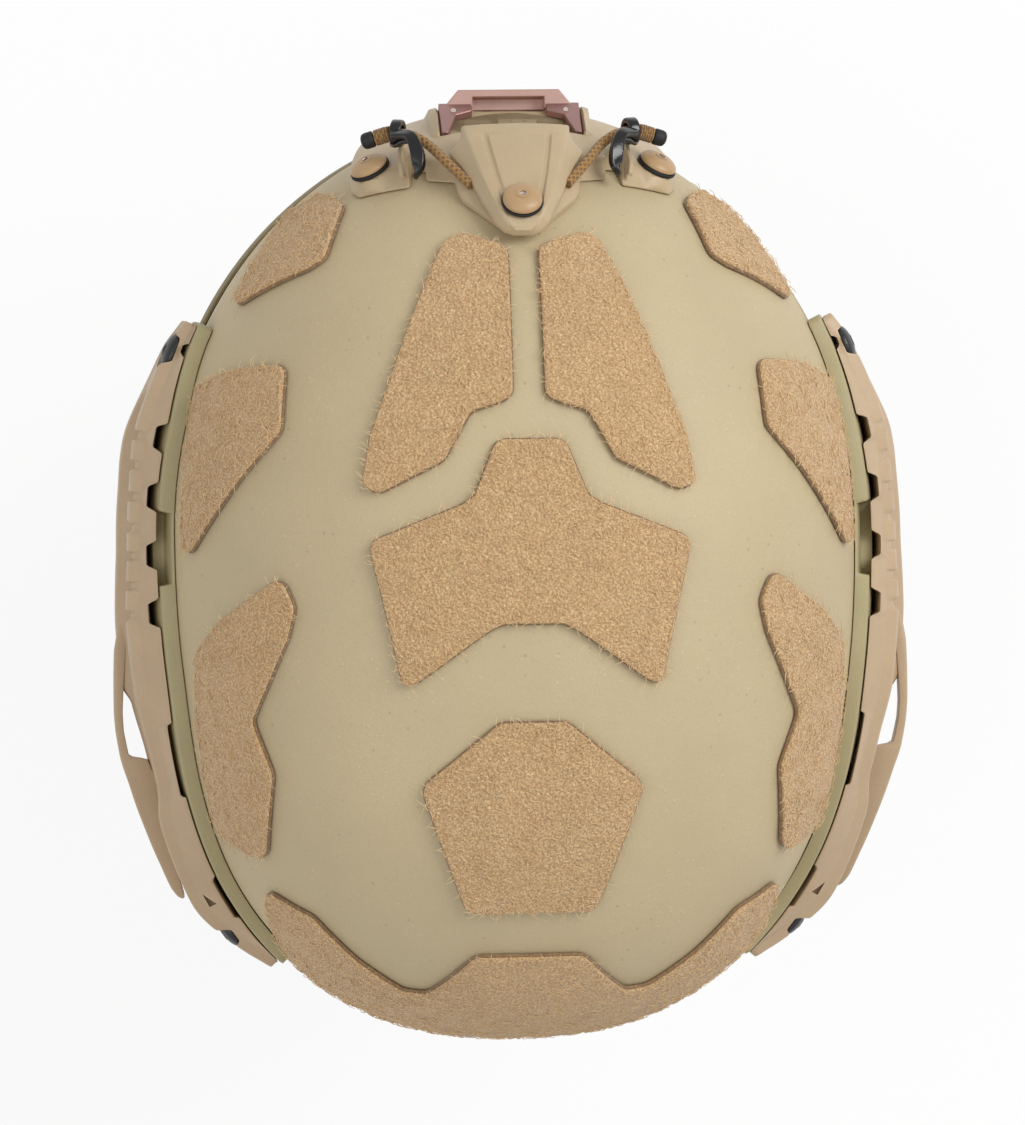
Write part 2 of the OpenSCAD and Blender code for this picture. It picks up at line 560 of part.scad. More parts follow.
// Front screws, washers and nuts
module shroud_screws() color([0.62, 0.50, 0.40]) {
    on_skin(centre_screw_at, cover_seat + washer_t + 0.1) dome_screw(cover_seat - nut_seat + 2);
    both_sides() on_skin(wing_screw_at, gap + wing_t + washer_t + 0.1)
        dome_screw(gap + wing_t + washer_t - nut_seat + 1);
}
module ring_washer() difference() {
    cylinder(h = washer_t, d = screw_head_d + 0.7);
    translate([0, 0, -1]) cylinder(h = washer_t + 2, d = screw_hole_d);
}
module shroud_washers() color([0.06, 0.06, 0.06]) {
    on_skin(centre_screw_at, cover_seat + 0.05) ring_washer();
    both_sides() on_skin(wing_screw_at, gap + wing_t + 0.05) ring_washer();
}
module shroud_nuts() color([0.16, 0.16, 0.17]) {
    on_skin(centre_screw_at, anchor_seat - 2) flange_nut(2);
    both_sides() on_skin(wing_screw_at, anchor_seat - 2) flange_nut(2);
}

// Loop patches, as outlines in the flat map
patch_low = gap + 0.15;
patch_high = patch_low + patch_t;
patch_profile = [[0.36, patch_low], [0.7, patch_low], [1, patch_low], [1, patch_high],
    [0.7, patch_high], [0.36, patch_high]];
front_patch = [[4.5, -83], [18.5, -87.7], [23.5, -84.7], [33, -63], [46.7, -28], [50.2, -12.5], [44.5, -10.8],
    [25.5, -20], [17.3, -34.2], [8, -37], [4.7, -39]];
crown_outline = [[10, -26], [16.8, -9.5], [20.5, -7], [48.5, 4], [37.5, 45.5], [34.5, 45.5], [14, 31], [9, 28.5],
    [-9, 28.5], [-14, 31], [-34.5, 45.5], [-37.5, 45.5], [-48.5, 4], [-20.5, -7], [-16.8, -9.5], [-10, -26]];
pentagon_outline = [[9.8, 56], [31.5, 73], [17.8, 107.5], [-17.8, 107.5], [-31.5, 73], [-9.8, 56]];
brow_outline = [[54.5, -104], [60, -110.5], [76.5, -107], [97, -79], [66, -81], [60, -84]];
upper_outline = [[73, -52], [94, -54], [114.5, -52], [120.5, -28], [123.5, 6], [118, 8], [90, -18.5],
    [75.3, -30.5]];
lower_outline = [[76.5, 14.5], [71.5, 24], [73.5, 33.5], [85.5, 60], [77, 74.5], [80, 101], [84, 104.5],
    [107, 104], [113.5, 70], [113.5, 43], [101, 30.5]];

module patch(outline, centre) color([0.76, 0.62, 0.44])
    dome_piece(divided(rounded(outline, 3, 1), 15), centre, patch_profile);
module front_left_patch() patch(front_patch, [27, -52]);
module front_right_patch() mirror([1, 0, 0]) patch(front_patch, [27, -52]);
module crown_patch() patch(crown_outline, [0, 6]);
module rear_crown_patch() patch(pentagon_outline, [0, 83]);
module left_brow_patch() patch(brow_outline, [74, -94]);
module right_brow_patch() mirror([1, 0, 0]) patch(brow_outline, [74, -94]);
module left_upper_patch() patch(upper_outline, [100, -30]);
module right_upper_patch() mirror([1, 0, 0]) patch(upper_outline, [100, -30]);
module left_lower_patch() patch(lower_outline, [95, 62]);
module right_lower_patch() mirror([1, 0, 0]) patch(lower_outline, [95, 62]);
nape_upper = [[0, 121.5], [15.5, 121.5], [22, 129.5], [30, 140], [37.5, 141], [51, 130], [64.5, 117.5], [84, 117.5]];
nape_lower = [[0, 176], [15, 175.5], [31, 172], [50, 165], [65, 156], [78, 144], [84, 128]];
nape_half = [0, 8, 15.5, 18.5, 22, 26, 30, 33.5, 37.5, 44, 51, 57, 64.5, 71, 78, 84];
nape_us = concat([for (k = [len(nape_half) - 1:-1:1]) -nape_half[k]], nape_half);
module nape_patch() color([0.76, 0.62, 0.44])
    dome_slab(nape_us, function(u) level_at(nape_upper, abs(u)), function(u) level_at(nape_lower, abs(u)),
        [0, 0.2, 0.4, 0.6, 0.8, 1], patch_low, function(u, v) patch_high);

// Elastic cords of the front mount, as [u, v, height over the shell]
cord_route = [[17.6, -105.4, 6.6], [21.4, -110.8, 7], [26, -116.8, 8], [30.5, -119.7, 9.8], [35, -120.6, 11],
    [38.6, -120.4, 11.3], [42, -119.8, 11.2]];
cord_path = [for (c = cord_route) skin([c[0], c[1]], c[2])];
module left_lanyard() color([0.55, 0.38, 0.18]) tube(cord_path, cord_d, 8);
module right_lanyard() color([0.55, 0.38, 0.18]) mirror([1, 0, 0]) tube(cord_path, cord_d, 8);
stop_d = 5;
module one_stop() {
    a = cord_path[5];
    b = cord_path[6];
    d = unit(b - a);
    translate(b + 0.1 * d) rotate([0, acos(d[2]), atan2(d[1], d[0])]) cylinder(h = 4, d = stop_d);
}
module cord_stops() color([0.08, 0.08, 0.08]) both_sides() one_stop();

// Hooks on the cords: an eye round the cord and a bent blade over the wing's edge
eye_at = cord_path[4];
eye_dir = unit(cord_path[5] - cord_path[3]);
hook_route = [[30.8, -115.4, 13], [29.2, -111.6, 10.8], [29.4, -109, 8], [31, -109, 5.2]];
hook_bar_d = 2.4;
eye_r = cord_d / 2 + 0.6 + hook_bar_d / 2;
hook_start = let(q = skin([hook_route[0][0], hook_route[0][1]], hook_route[0][2]) - eye_at,
    side = unit(q - (q * eye_dir) * eye_dir)) eye_at + (eye_r + 0.5) * side;
module hook() {
    translate(eye_at) rotate([0, acos(eye_dir[2]), atan2(eye_dir[1], eye_dir[0])])
        rotate_extrude() translate([eye_r, 0]) circle(d = hook_bar_d, $fn = 24);
    tube(concat([hook_start], [for (c = hook_route) skin([c[0], c[1]], c[2])]), 2.8, 8);
}
module left_hook() color([0.05, 0.05, 0.05]) hook();
module right_hook() color([0.05, 0.05, 0.05]) mirror([1, 0, 0]) hook();

// Comfort pads inside, held by hook discs
disc_back = -shell_t - 0.8;
disc_front = disc_back - disc_t;
pad_back = disc_front - gap;
pad_front = pad_back - pad_t;
pad_profile = [[0.4, pad_back], [0.85, pad_back], [0.97, pad_back - 2], [1, pad_back - 6],
    [0.98, lerp(pad_back, pad_front, 0.6)], [0.9, lerp(pad_back, pad_front, 0.82)],
    [0.7, lerp(pad_back, pad_front, 0.94)], [0.35, pad_front]];
module pad(outline, centre, r) color([0.30, 0.29, 0.26])
    dome_piece(divided(rounded(outline, r, 2), 16), centre, pad_profile);
front_pad_c = [0, -134];
rear_pad_c = [0, 124];
side_front_c = [98, -48];
side_rear_c = [98, 42];
module crown_pad() color([0.30, 0.29, 0.26]) dome_piece(disc_outline([0, 0], 34, 24), [0, 0], pad_profile);
module front_pad() pad(box_outline(front_pad_c, 90, 40), front_pad_c, 12);
module rear_pad() pad(box_outline(rear_pad_c, 84, 40), rear_pad_c, 12);
module left_front_pad() pad(box_outline(side_front_c, 44, 62), side_front_c, 12);
module left_rear_pad() pad(box_outline(side_rear_c, 44, 62), side_rear_c, 12);
module right_front_pad() mirror([1, 0, 0]) left_front_pad();
module right_rear_pad() mirror([1, 0, 0]) left_rear_pad();
disc_r = 11;
module disc(c) dome_piece(disc_outline(c, disc_r, 10), c, [[1, disc_front], [1, disc_back]]);
module pad_discs() color([0.12, 0.12, 0.12]) {
    disc([0, 0]);
    for (c = [front_pad_c, rear_pad_c]) both_sides() disc(c + [26, 0]);
    both_sides() {
        disc(side_front_c + [0, 14]);
        disc(side_front_c - [0, 14]);
        disc(side_rear_c + [0, 14]);
        disc(side_rear_c - [0, 14]);
    }
}

// Fit dial at the nape: rack and pinion in a flat housing
dial_z = -84;
channel_y = 110;
pitch_r = tooth_module * pinion_teeth / 2;
addendum = 0.8 * tooth_module;
dedendum = 1.05 * tooth_module;
rack_back = 3.2;
backlash = 0.35;
rack_half = pitch_r + dedendum + rack_back;
channel_half = rack_half + gap;
wall = 2.2;
housing_half_w = 34;
layer_t = band_t + 2 * gap;
tooth_pitch = PI * tooth_module;

base_r = pitch_r * cos(20);
tip_r = pitch_r + addendum;
root_r = pitch_r - dedendum;
function roll(r) = sqrt(max(r * r / (base_r * base_r) - 1, 0)) * 180 / PI;
function flank_angle(r) = roll(r) - atan(roll(r) * PI / 180);
tooth_half = (tooth_pitch / 2 - backlash) / (2 * pitch_r) * 180 / PI + flank_angle(pitch_r);
flank_rs = [for (k = [0:4]) lerp(max(base_r, root_r), tip_r, k / 4)];
function tooth(c) = concat([root_r * [cos(c - tooth_half - 1), sin(c - tooth_half - 1)]],
    [for (r = flank_rs) r * [cos(c - tooth_half + flank_angle(r)), sin(c - tooth_half + flank_angle(r))]],
    [for (k = [4:-1:0]) let(r = flank_rs[k])
        r * [cos(c + tooth_half - flank_angle(r)), sin(c + tooth_half - flank_angle(r))]],
    [root_r * [cos(c + tooth_half + 1), sin(c + tooth_half + 1)]]);
pinion_shape = [for (k = [0:pinion_teeth - 1]) each tooth(360 / pinion_teeth * k)];

// Turns drawings in the XY plane to face along +Y
module facing_rear(y0) translate([0, y0, dial_z]) rotate([-90, 0, 0]) children();

module dial_pinion() color([0.75, 0.75, 0.72]) facing_rear(channel_y - band_t / 2)
    difference() {
        linear_extrude(band_t) polygon(pinion_shape);
        translate([0, 0, -1]) cylinder(h = band_t + 2, d = 5.2);
    }

rack_len = 35 + band_travel;
rack_root = pitch_r + dedendum;
rack_tip = pitch_r - addendum;
rack_flat = tooth_pitch / 4 - backlash / 2;
function rack_tooth(c) = let(lean = tan(20)) [
    [c - rack_flat - lean * dedendum, rack_root], [c - rack_flat + lean * addendum, rack_tip],
    [c + rack_flat - lean * addendum, rack_tip], [c + rack_flat + lean * dedendum, rack_root]];
rack_first = -3;
rack_count = 9;
rack_from = (rack_first - 0.6) * tooth_pitch;
rack_shape = concat([[rack_from, rack_root]],
    [for (k = [0:rack_count - 1]) each rack_tooth((rack_first + k) * tooth_pitch)],
    [[rack_len, rack_root], [rack_len, rack_half], [rack_from, rack_half]]);

module one_rack() facing_rear(channel_y - band_t / 2) linear_extrude(band_t) polygon(rack_shape);

// The band bends forward round the head from the end of its rack
rack_mid = (rack_root + rack_half) / 2;
band_route = [[50, 109, 1.5], [56, 102, 3], [61, 92, 5], [66, 74, 7], [69, 52, 10], [70, 28, 14],
    [69.5, 6, 18], [67, -14, 20]];
module band_arm(rack_side) {
    path = concat([[rack_len - 0.5, channel_y, dial_z + rack_side * rack_mid]],
        [for (b = band_route) [b[0], b[1], dial_z + b[2]]]);
    last = len(path) - 1;
    loft([for (k = [0:last]) let(
        t = unit(path[min(k + 1, last)] - path[max(k - 1, 0)]),
        n = unit([-t[1], t[0], 0]),
        h = (k == 0 ? rack_half - rack_root : min(band_h, 6 + 5 * k)) / 2 * [0, 0, 1])
        [path[k] - h - n * band_t / 2, path[k] + h - n * band_t / 2,
         path[k] + h + n * band_t / 2, path[k] - h + n * band_t / 2]]);
}
module left_band() color([0.28, 0.27, 0.25]) {
    one_rack();
    band_arm(-1);
}
module right_band() color([0.28, 0.27, 0.25]) {
    translate([0, 0, 2 * dial_z]) rotate([0, 180, 0]) one_rack();
    mirror([1, 0, 0]) band_arm(1);
}

// Flat rounded plates facing the rear
module rear_plate(w, h, r, y0, t) facing_rear(y0) linear_extrude(t)
    polygon(rounded(box_outline([0, 0], w, h), r, 4));
housing_h = 2 * channel_half + 2 * wall;
housing_y = channel_y - layer_t / 2;
module dial_housing() color([0.16, 0.16, 0.15]) difference() {
    rear_plate(2 * housing_half_w, housing_h, 9, housing_y, layer_t + wall);
    translate([-housing_half_w - 1, housing_y - 1, dial_z - channel_half])
        cube([2 * housing_half_w + 2, layer_t + 1, 2 * channel_half]);
    facing_rear(housing_y) cylinder(h = layer_t + wall + 1, d = dial_shaft_d + 0.4);
}
dial_shaft_d = 5;
cover_gap = 0.1;
module dial_cover() color([0.20, 0.20, 0.19])
    rear_plate(2 * housing_half_w - 2, housing_h - 1, 9, housing_y - wall - cover_gap, wall);

knob_y = housing_y + layer_t + wall + gap;
grips = 14;
module fit_dial() color([0.10, 0.10, 0.10]) difference() {
    facing_rear(0) {
        rotate_extrude() polygon([[0, housing_y + gap], [dial_shaft_d / 2, housing_y + gap],
            [dial_shaft_d / 2, knob_y], [knob_d / 2, knob_y], [knob_d / 2, knob_y + knob_depth - 2],
            [knob_d / 2 - 2, knob_y + knob_depth], [6, knob_y + knob_depth], [5, knob_y + knob_depth - 1.2],
            [0, knob_y + knob_depth - 1.2]]);
    }
    for (k = [0:grips - 1]) facing_rear(knob_y + 2) rotate([0, 0, 360 * k / grips])
        translate([knob_d / 2 + 1, 0, 0]) cylinder(h = knob_depth, d = 4.4);
}

// A cushion on the head side of the dial; profile as [scale, depth]
cushion_t = 9;
module nape_cushion() color([0.33, 0.31, 0.27]) {
    base = housing_y - wall - cover_gap - gap;
    outline = divided(rounded(box_outline([0, 0], 74, 34), 12, 3), 14);
    profile = [[0.5, 0], [0.93, 0], [1, -2.5], [0.98, -5.5], [0.88, -7.6], [0.6, -8.7], [0.25, -cushion_t]];
    n = len(outline);
    m = len(profile);
    p = concat([for (s = profile, q = outline) [s[0] * q[0], base + s[1] - 0.0022 * pow(s[0] * q[0], 2) * (s[1] / cushion_t) * -1,
        dial_z + s[0] * q[1]]], [[0, base, dial_z], [0, base - cushion_t, dial_z]]);
    faces = concat(wall_faces(n, m),
        [for (i = [0:n - 1]) [n * m, (i + 1) % n, i]],
        [for (i = [0:n - 1]) [n * m + 1, (m - 1) * n + i, (m - 1) * n + (i + 1) % n]]);
    polyhedron(p, turned(p, faces));
}

// Hanger that carries the dial from the nape of the shell
hanger_w = 24;
hanger_t = 1.6;
hanger_path = concat([for (v = [164, 172, 180]) skin([0, v], -shell_t - flange_room - hanger_t / 2 - 0.3)],
    [[0, channel_y + 23, -36], [0, channel_y + 14, -50], [0, channel_y + 4.5, -59], [0, channel_y + 1, -65],
     [0, channel_y + 1, dial_z + housing_h / 2 + 0.1]]);
module yoke_hanger() color([0.24, 0.23, 0.21])
    ribbon(hanger_path, [for (p = hanger_path) [1, 0, 0]], hanger_w, hanger_t);

// Chin harness: anchors on the rail bolts, straps, joiners, adjusters, buckle and cup
strap_depth = -anchor_seat + anchor_t + gap + web_t / 2;
anchor_reach = 9;
joiner_x = 77;
joiner_t = 2.4;
strap_x = joiner_x + joiner_t + gap + web_t / 2;
front_end = [strap_x, -17, -84];
rear_end = [strap_x, 4, -81];
function wall_at(y, z, depth) = let(p = side_point(y, z)) p - depth * skin_normal(p);
front_wall = [wall_at(-48.5, 12.5, strap_depth), wall_at(-46, 3, strap_depth + 1), wall_at(-43.5, -7, strap_depth + 2.4)];
rear_wall = [wall_at(110.5, -8.5, strap_depth), wall_at(104, -15, strap_depth + 1.2), wall_at(95, -22.5, strap_depth + 2.6)];
run_from = [strap_x, 80, -33];
run_dir = unit(rear_end - run_from);
run_across = unit([0, run_dir[2], -run_dir[1]]);
front_across = unit([0, front_end[2] - front_wall[2][2], front_wall[2][1] - front_end[1]]);
front_path = concat(front_wall, [for (t = [0.25, 0.55, 0.85, 1]) let(q = lerp(front_wall[2], front_end, t))
    [lerp(front_wall[2][0], strap_x, smooth(t * 1.2)), q[1], q[2]]]);
rear_path = concat(rear_wall, [for (t = [0, 0.3, 0.7, 1]) lerp(run_from, rear_end, t)]);
function wall_across(path, k) = unit(cross(path[k + 1] - path[k], skin_normal(path[k])));
module one_anchor(at, path) {
    n = skin_normal(at);
    d = path[1] - path[0];
    x = unit(d - (d * n) * n);
    placed(at + (anchor_seat - anchor_t) * n, x, cross(n, x)) difference() {
        union() {
            cylinder(h = anchor_t, d = 14);
            translate([0, -7, 0]) cube([anchor_reach, 14, anchor_t]);
        }
        translate([0, 0, -1]) cylinder(h = 4, d = screw_hole_d);
    }
}
module strap_anchors() color([0.18, 0.18, 0.18]) both_sides() {
    one_anchor(rail_front_at, front_wall);
    one_anchor(rail_rear_at, rear_wall);
}
module front_strap() ribbon(front_path,
    concat([wall_across(front_wall, 0), wall_across(front_wall, 1)], [for (k = [0:4]) front_across]), web_w, web_t);
module rear_strap() ribbon(rear_path,
    concat([wall_across(rear_wall, 0), wall_across(rear_wall, 1)], [for (k = [0:4]) run_across]), web_w, web_t);
module front_left_strap() color([0.62, 0.52, 0.38]) front_strap();
module front_right_strap() color([0.62, 0.52, 0.38]) mirror([1, 0, 0]) front_strap();
module rear_left_strap() color([0.62, 0.52, 0.38]) rear_strap();
module rear_right_strap() color([0.62, 0.52, 0.38]) mirror([1, 0, 0]) rear_strap();

// A piece in the axes of a strap: x runs along it, y across it, z away from the head
module placed(o, x, y) {
    z = cross(x, y);
    multmatrix([[x[0], y[0], z[0], o[0]], [x[1], y[1], z[1], o[1]], [x[2], y[2], z[2], o[2]],
        [0, 0, 0, 1]]) children();
}

module strap_joiners() color([0.16, 0.16, 0.15]) both_sides() difference() {
    translate([joiner_x, 0, 0]) rotate([90, 0, 90]) linear_extrude(joiner_t)
        polygon(rounded([[-31, -75], [13, -70], [-12, -111]], 14, 4));
    translate([joiner_x - 1, 0, 0]) rotate([90, 0, 90]) linear_extrude(joiner_t + 2)
        polygon(rounded([[-17, -82], [-1, -80], [-10, -95]], 4, 3));
}

// Adjusters that run on the straight part of the rear straps
adjuster_low = 37;
adjuster_at = rear_end - (adjuster_low + adjuster_travel / 2) * run_dir;
adjuster_l = 15;
adjuster_w = web_w + 7;
adjuster_h = web_t + 4;
module one_adjuster() placed(adjuster_at, run_dir, run_across) difference() {
    translate([0, 0, -adjuster_h / 2]) linear_extrude(adjuster_h)
        polygon(rounded(box_outline([0, 0], adjuster_l, adjuster_w), 3, 3));
    cube([adjuster_l + 2, web_w + 2 * gap, web_t + 2 * gap], center = true);
    translate([0, 0, adjuster_h / 2]) cube([5, web_w - 2, adjuster_h], center = true);
}
module left_adjuster() color([0.16, 0.16, 0.15]) one_adjuster();
module right_adjuster() color([0.16, 0.16, 0.15]) mirror([1, 0, 0]) one_adjuster();

// Chin cup on an arc round the chin
cup_r = 34;
cup_c = [0, -70, -150];
cup_t = 6;
function cup_point(a, out, z) = cup_c + [(cup_r + out) * sin(a), -(cup_r + out) * cos(a), z];
module chin_cup() color([0.35, 0.32, 0.27]) loft([for (k = [0:14]) let(
    a = -70 + 10 * k,
    e = smooth((70 - abs(a)) / 12),
    h = lerp(8, 11, e) + 6 * pow(cos(a), 2) * e,
    t = cup_t / 2 * lerp(0.6, 1, e))
    [cup_point(a, t, -0.7 * h), cup_point(a, t, 0.7 * h), cup_point(a, 0.6 * t, 0.93 * h), cup_point(a, 0, h),
     cup_point(a, -0.6 * t, 0.93 * h), cup_point(a, -t, 0.7 * h), cup_point(a, -t, -0.7 * h),
     cup_point(a, -0.6 * t, -0.93 * h), cup_point(a, 0, -h), cup_point(a, 0.6 * t, -0.93 * h)]]);

// Lower straps run in a straight line from the joiner to the side of the cup
cup_lift = cup_t / 2 + gap + web_t / 2 + 0.2;
line_from = [77, -26, -105];
line_to = cup_point(65, cup_lift, 2);
line_dir = unit(line_to - line_from);
line_across = unit([0, -line_dir[2], line_dir[1]]);
line_out = cross(line_dir, line_across);
function on_line(s, out) = line_from + s * line_dir + out * line_out;
cup_run = [cup_point(65, cup_lift, 2), cup_point(56, cup_lift, 1), cup_point(47, cup_lift, 0)];
cup_across = [for (k = [0:2]) [0, 0, -1]];
join_run = [[strap_x, -14, -97], [strap_x, -18.5, -100]];
join_across = [for (k = [0:1]) [0, 0.6, -0.8]];
socket_s = 14;
socket_l = 30;
socket_w = web_w + 7;
socket_h = 9;
base_l = 10;
prong_l = 17;
mouth_s = socket_s + socket_l;
slot_l = 3.4;

module right_lower_strap() color([0.62, 0.52, 0.38]) mirror([1, 0, 0])
    ribbon(concat(join_run, [on_line(4, 0), on_line(40, 0), on_line(72, 0)], cup_run),
        concat(join_across, [for (k = [0:2]) line_across], cup_across), web_w, web_t);
module left_lower_strap() color([0.62, 0.52, 0.38])
    ribbon(concat(join_run, [on_line(4, 0), on_line(socket_s + 2 + slot_l - gap, 0)]),
        concat(join_across, [for (k = [0:1]) line_across]), web_w, web_t);

module buckle_socket() color([0.14, 0.14, 0.14]) placed(on_line(socket_s, 0), line_dir, line_across)
    difference() {
        translate([0, 0, -socket_h / 2]) linear_extrude(socket_h)
            polygon(rounded(box_outline([socket_l / 2, 0], socket_l, socket_w), 4, 4));
        translate([-1, -web_w / 2 - gap, -web_t / 2 - gap]) cube([slot_l + 3, web_w + 2 * gap, web_t + 2 * gap]);
        translate([2, -web_w / 2 - gap, -socket_h]) cube([slot_l, web_w + 2 * gap, 2 * socket_h]);
        translate([10, -web_w / 2 - gap, -3.4]) cube([socket_l, web_w + 2 * gap, 3.4]);
        translate([15, -socket_w, -3.4]) cube([8, 2 * socket_w, 3.4]);
    }
module buckle_tongue() color([0.14, 0.14, 0.14]) placed(on_line(mouth_s + gap, 0), line_dir, line_across) {
    difference() {
        translate([0, 0, -socket_h / 2]) linear_extrude(socket_h)
            polygon(rounded(box_outline([base_l / 2, 0], base_l, socket_w), 3, 3));
        translate([-1, -web_w / 2 - gap, tongue_lift - web_t / 2 - gap])
            cube([base_l + 2, web_w + 2 * gap, web_t + 2 * gap]);
    }
    translate([-prong_l, 0, -3.1]) linear_extrude(2.8) polygon(prong_shape);
}
tongue_lift = 1.9;
prong_shape = [[prong_l + 0.5, -9], [prong_l - 1, -9], [4, -9.2], [0, -7.4], [0, -5.8], [13, -6.2],
    [14, -2.2], [2, -1.6], [2, 1.6], [14, 2.2], [13, 6.2], [0, 5.8], [0, 7.4], [4, 9.2], [prong_l - 1, 9],
    [prong_l + 0.5, 9]];
module tongue_strap() color([0.62, 0.52, 0.38])
    ribbon(concat([on_line(mouth_s + 2, tongue_lift), on_line(mouth_s + base_l + tongue_travel + 1, tongue_lift)], cup_run),
        concat([for (k = [0:1]) line_across], cup_across), web_w, web_t);

shell();
edge_trim();
left_rail_backer();
right_rail_backer();
left_rail();
right_rail();
rail_screws();
rail_nuts();
front_bracket();
shroud_cover();
shroud_plate();
shroud_screws();
shroud_washers();
shroud_nuts();
front_left_patch();
front_right_patch();
crown_patch();
rear_crown_patch();
left_brow_patch();
right_brow_patch();
left_upper_patch();
right_upper_patch();
left_lower_patch();
right_lower_patch();
nape_patch();
left_lanyard();
right_lanyard();
left_hook();
right_hook();
cord_stops();
crown_pad();
front_pad();
rear_pad();
left_front_pad();
left_rear_pad();
right_front_pad();
right_rear_pad();
pad_discs();
dial_housing();
dial_cover();
fit_dial();
dial_pinion();
left_band();
right_band();
nape_cushion();
yoke_hanger();
front_left_strap();
front_right_strap();
rear_left_strap();
rear_right_strap();
strap_anchors();
strap_joiners();
left_adjuster();
right_adjuster();
left_lower_strap();
right_lower_strap();
chin_cup();
buckle_socket();
buckle_tongue();
tongue_strap();
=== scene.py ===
"""Dressed combat helmet: the pieces that the camera sees, built round the part's solids."""
import json
import logging
import math
from dataclasses import dataclass
from typing import Callable, List, Optional, Sequence, Tuple, Union

import bmesh
import bpy
import numpy as np
from mathutils import Matrix, Vector
from mathutils.bvhtree import BVHTree
from mathutils.geometry import delaunay_2d_cdt

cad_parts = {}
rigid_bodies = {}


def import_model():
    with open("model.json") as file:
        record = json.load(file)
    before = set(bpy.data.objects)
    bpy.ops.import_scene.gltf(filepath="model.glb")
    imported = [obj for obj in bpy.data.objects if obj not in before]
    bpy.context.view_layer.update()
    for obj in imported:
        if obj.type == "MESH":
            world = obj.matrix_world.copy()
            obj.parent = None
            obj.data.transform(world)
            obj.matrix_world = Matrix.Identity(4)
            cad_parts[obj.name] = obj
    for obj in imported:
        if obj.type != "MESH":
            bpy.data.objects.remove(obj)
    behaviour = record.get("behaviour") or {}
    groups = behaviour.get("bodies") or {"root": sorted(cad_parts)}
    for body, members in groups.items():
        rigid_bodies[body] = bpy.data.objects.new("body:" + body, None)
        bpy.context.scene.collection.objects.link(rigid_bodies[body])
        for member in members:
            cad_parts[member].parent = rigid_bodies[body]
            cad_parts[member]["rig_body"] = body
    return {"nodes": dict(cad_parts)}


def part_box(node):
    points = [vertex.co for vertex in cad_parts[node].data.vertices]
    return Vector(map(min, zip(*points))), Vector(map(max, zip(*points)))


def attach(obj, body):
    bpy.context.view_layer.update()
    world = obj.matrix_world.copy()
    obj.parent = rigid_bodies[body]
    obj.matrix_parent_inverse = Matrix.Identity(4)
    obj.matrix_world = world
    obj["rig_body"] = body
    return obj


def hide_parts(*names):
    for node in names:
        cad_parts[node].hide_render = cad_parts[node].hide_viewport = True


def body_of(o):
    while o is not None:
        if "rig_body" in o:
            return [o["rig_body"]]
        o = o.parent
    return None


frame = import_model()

LOG = logging.getLogger("helmet")
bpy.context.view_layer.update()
MM = 0.001
ROOT_BODY = "helmet"
ROUGH_SEED = 11
SOFT_STEPS, SOFT_ANGLE = 2, 32.0  # rounded edges: steps across, and least turn in degrees
Array = np.ndarray
Object = bpy.types.Object
Mesh = bpy.types.Mesh
Pair = Tuple[float, float]
Triple = Tuple[float, float, float]
Points = Sequence[Sequence[float]]
Faces = List[Tuple[int, ...]]
Number = Union[int, float]
Values = Union[Array, Number]


# Numbers and curves
def unit(v: Array) -> Array:
    """Vectors of length one along the last axis."""
    v = np.asarray(v, float)
    return v / np.maximum(np.linalg.norm(v, axis=-1, keepdims=True), 1e-12)


def smooth(t: Values) -> Array:
    """Ease from 0 to 1 with flat ends."""
    s = np.clip(t, 0.0, 1.0)
    return s * s * (3 - 2 * s)


def ease(t: Number) -> float:
    """The same ease for one number."""
    return float(smooth(t))


def lerp(a: Values, b: Values, t: Values) -> Array:
    """Blend from a to b."""
    return a + (b - a) * t


def arc_lengths(points: Array) -> Array:
    """Distance along a polyline at each of its points."""
    return np.concatenate([[0.0], np.cumsum(np.linalg.norm(np.diff(points, axis=0), axis=1))])


def read_off(rows: Array, s: Array, places: Array) -> Array:
    """Rows of a table read off at places along it."""
    return np.stack([np.interp(places, s, rows[:, k]) for k in range(rows.shape[1])], axis=1)


def squared(v: Array, t: Array) -> Array:
    """The part of vectors that stands square to others, at length one."""
    return unit(v - np.sum(v * t, axis=1, keepdims=True) * t)


def full_turn(count: int) -> Array:
    """Even angles of one full turn."""
    return np.linspace(0, 2 * np.pi, count, endpoint=False)


def resample(points: Array, step: float, closed: bool = False) -> Array:
    """Points at even spacing along a polyline.

    Args:
        points: Rows of coordinates.
        step: Wanted spacing.
        closed: Joins the last point to the first; the first isn't repeated.

    Returns:
        The new rows.
    """
    pts = np.asarray(points, float)
    if closed:
        pts = np.vstack([pts, pts[:1]])
    s = arc_lengths(pts)
    count = max(int(round(s[-1] / step)), 3)
    t = np.linspace(0, s[-1], count + 1)
    if closed:
        t = t[:-1]
    return read_off(pts, s, t)


def spline(points: Array, step: float) -> Array:
    """A smooth curve through points, sampled at even spacing."""
    p = np.asarray(points, float)
    ext = np.vstack([2 * p[0] - p[1], p, 2 * p[-1] - p[-2]])
    t = np.linspace(0, 1, 12, endpoint=False)[:, None]
    out = []
    for k in range(1, len(ext) - 2):
        a, b, c, d = ext[k - 1:k + 3]
        out.append(0.5 * (2 * b + (c - a) * t + (2 * a - 5 * b + 4 * c - d) * t ** 2
                          + (3 * b - a - 3 * c + d) * t ** 3))
    return resample(np.vstack(out + [p[-1:]]), step)


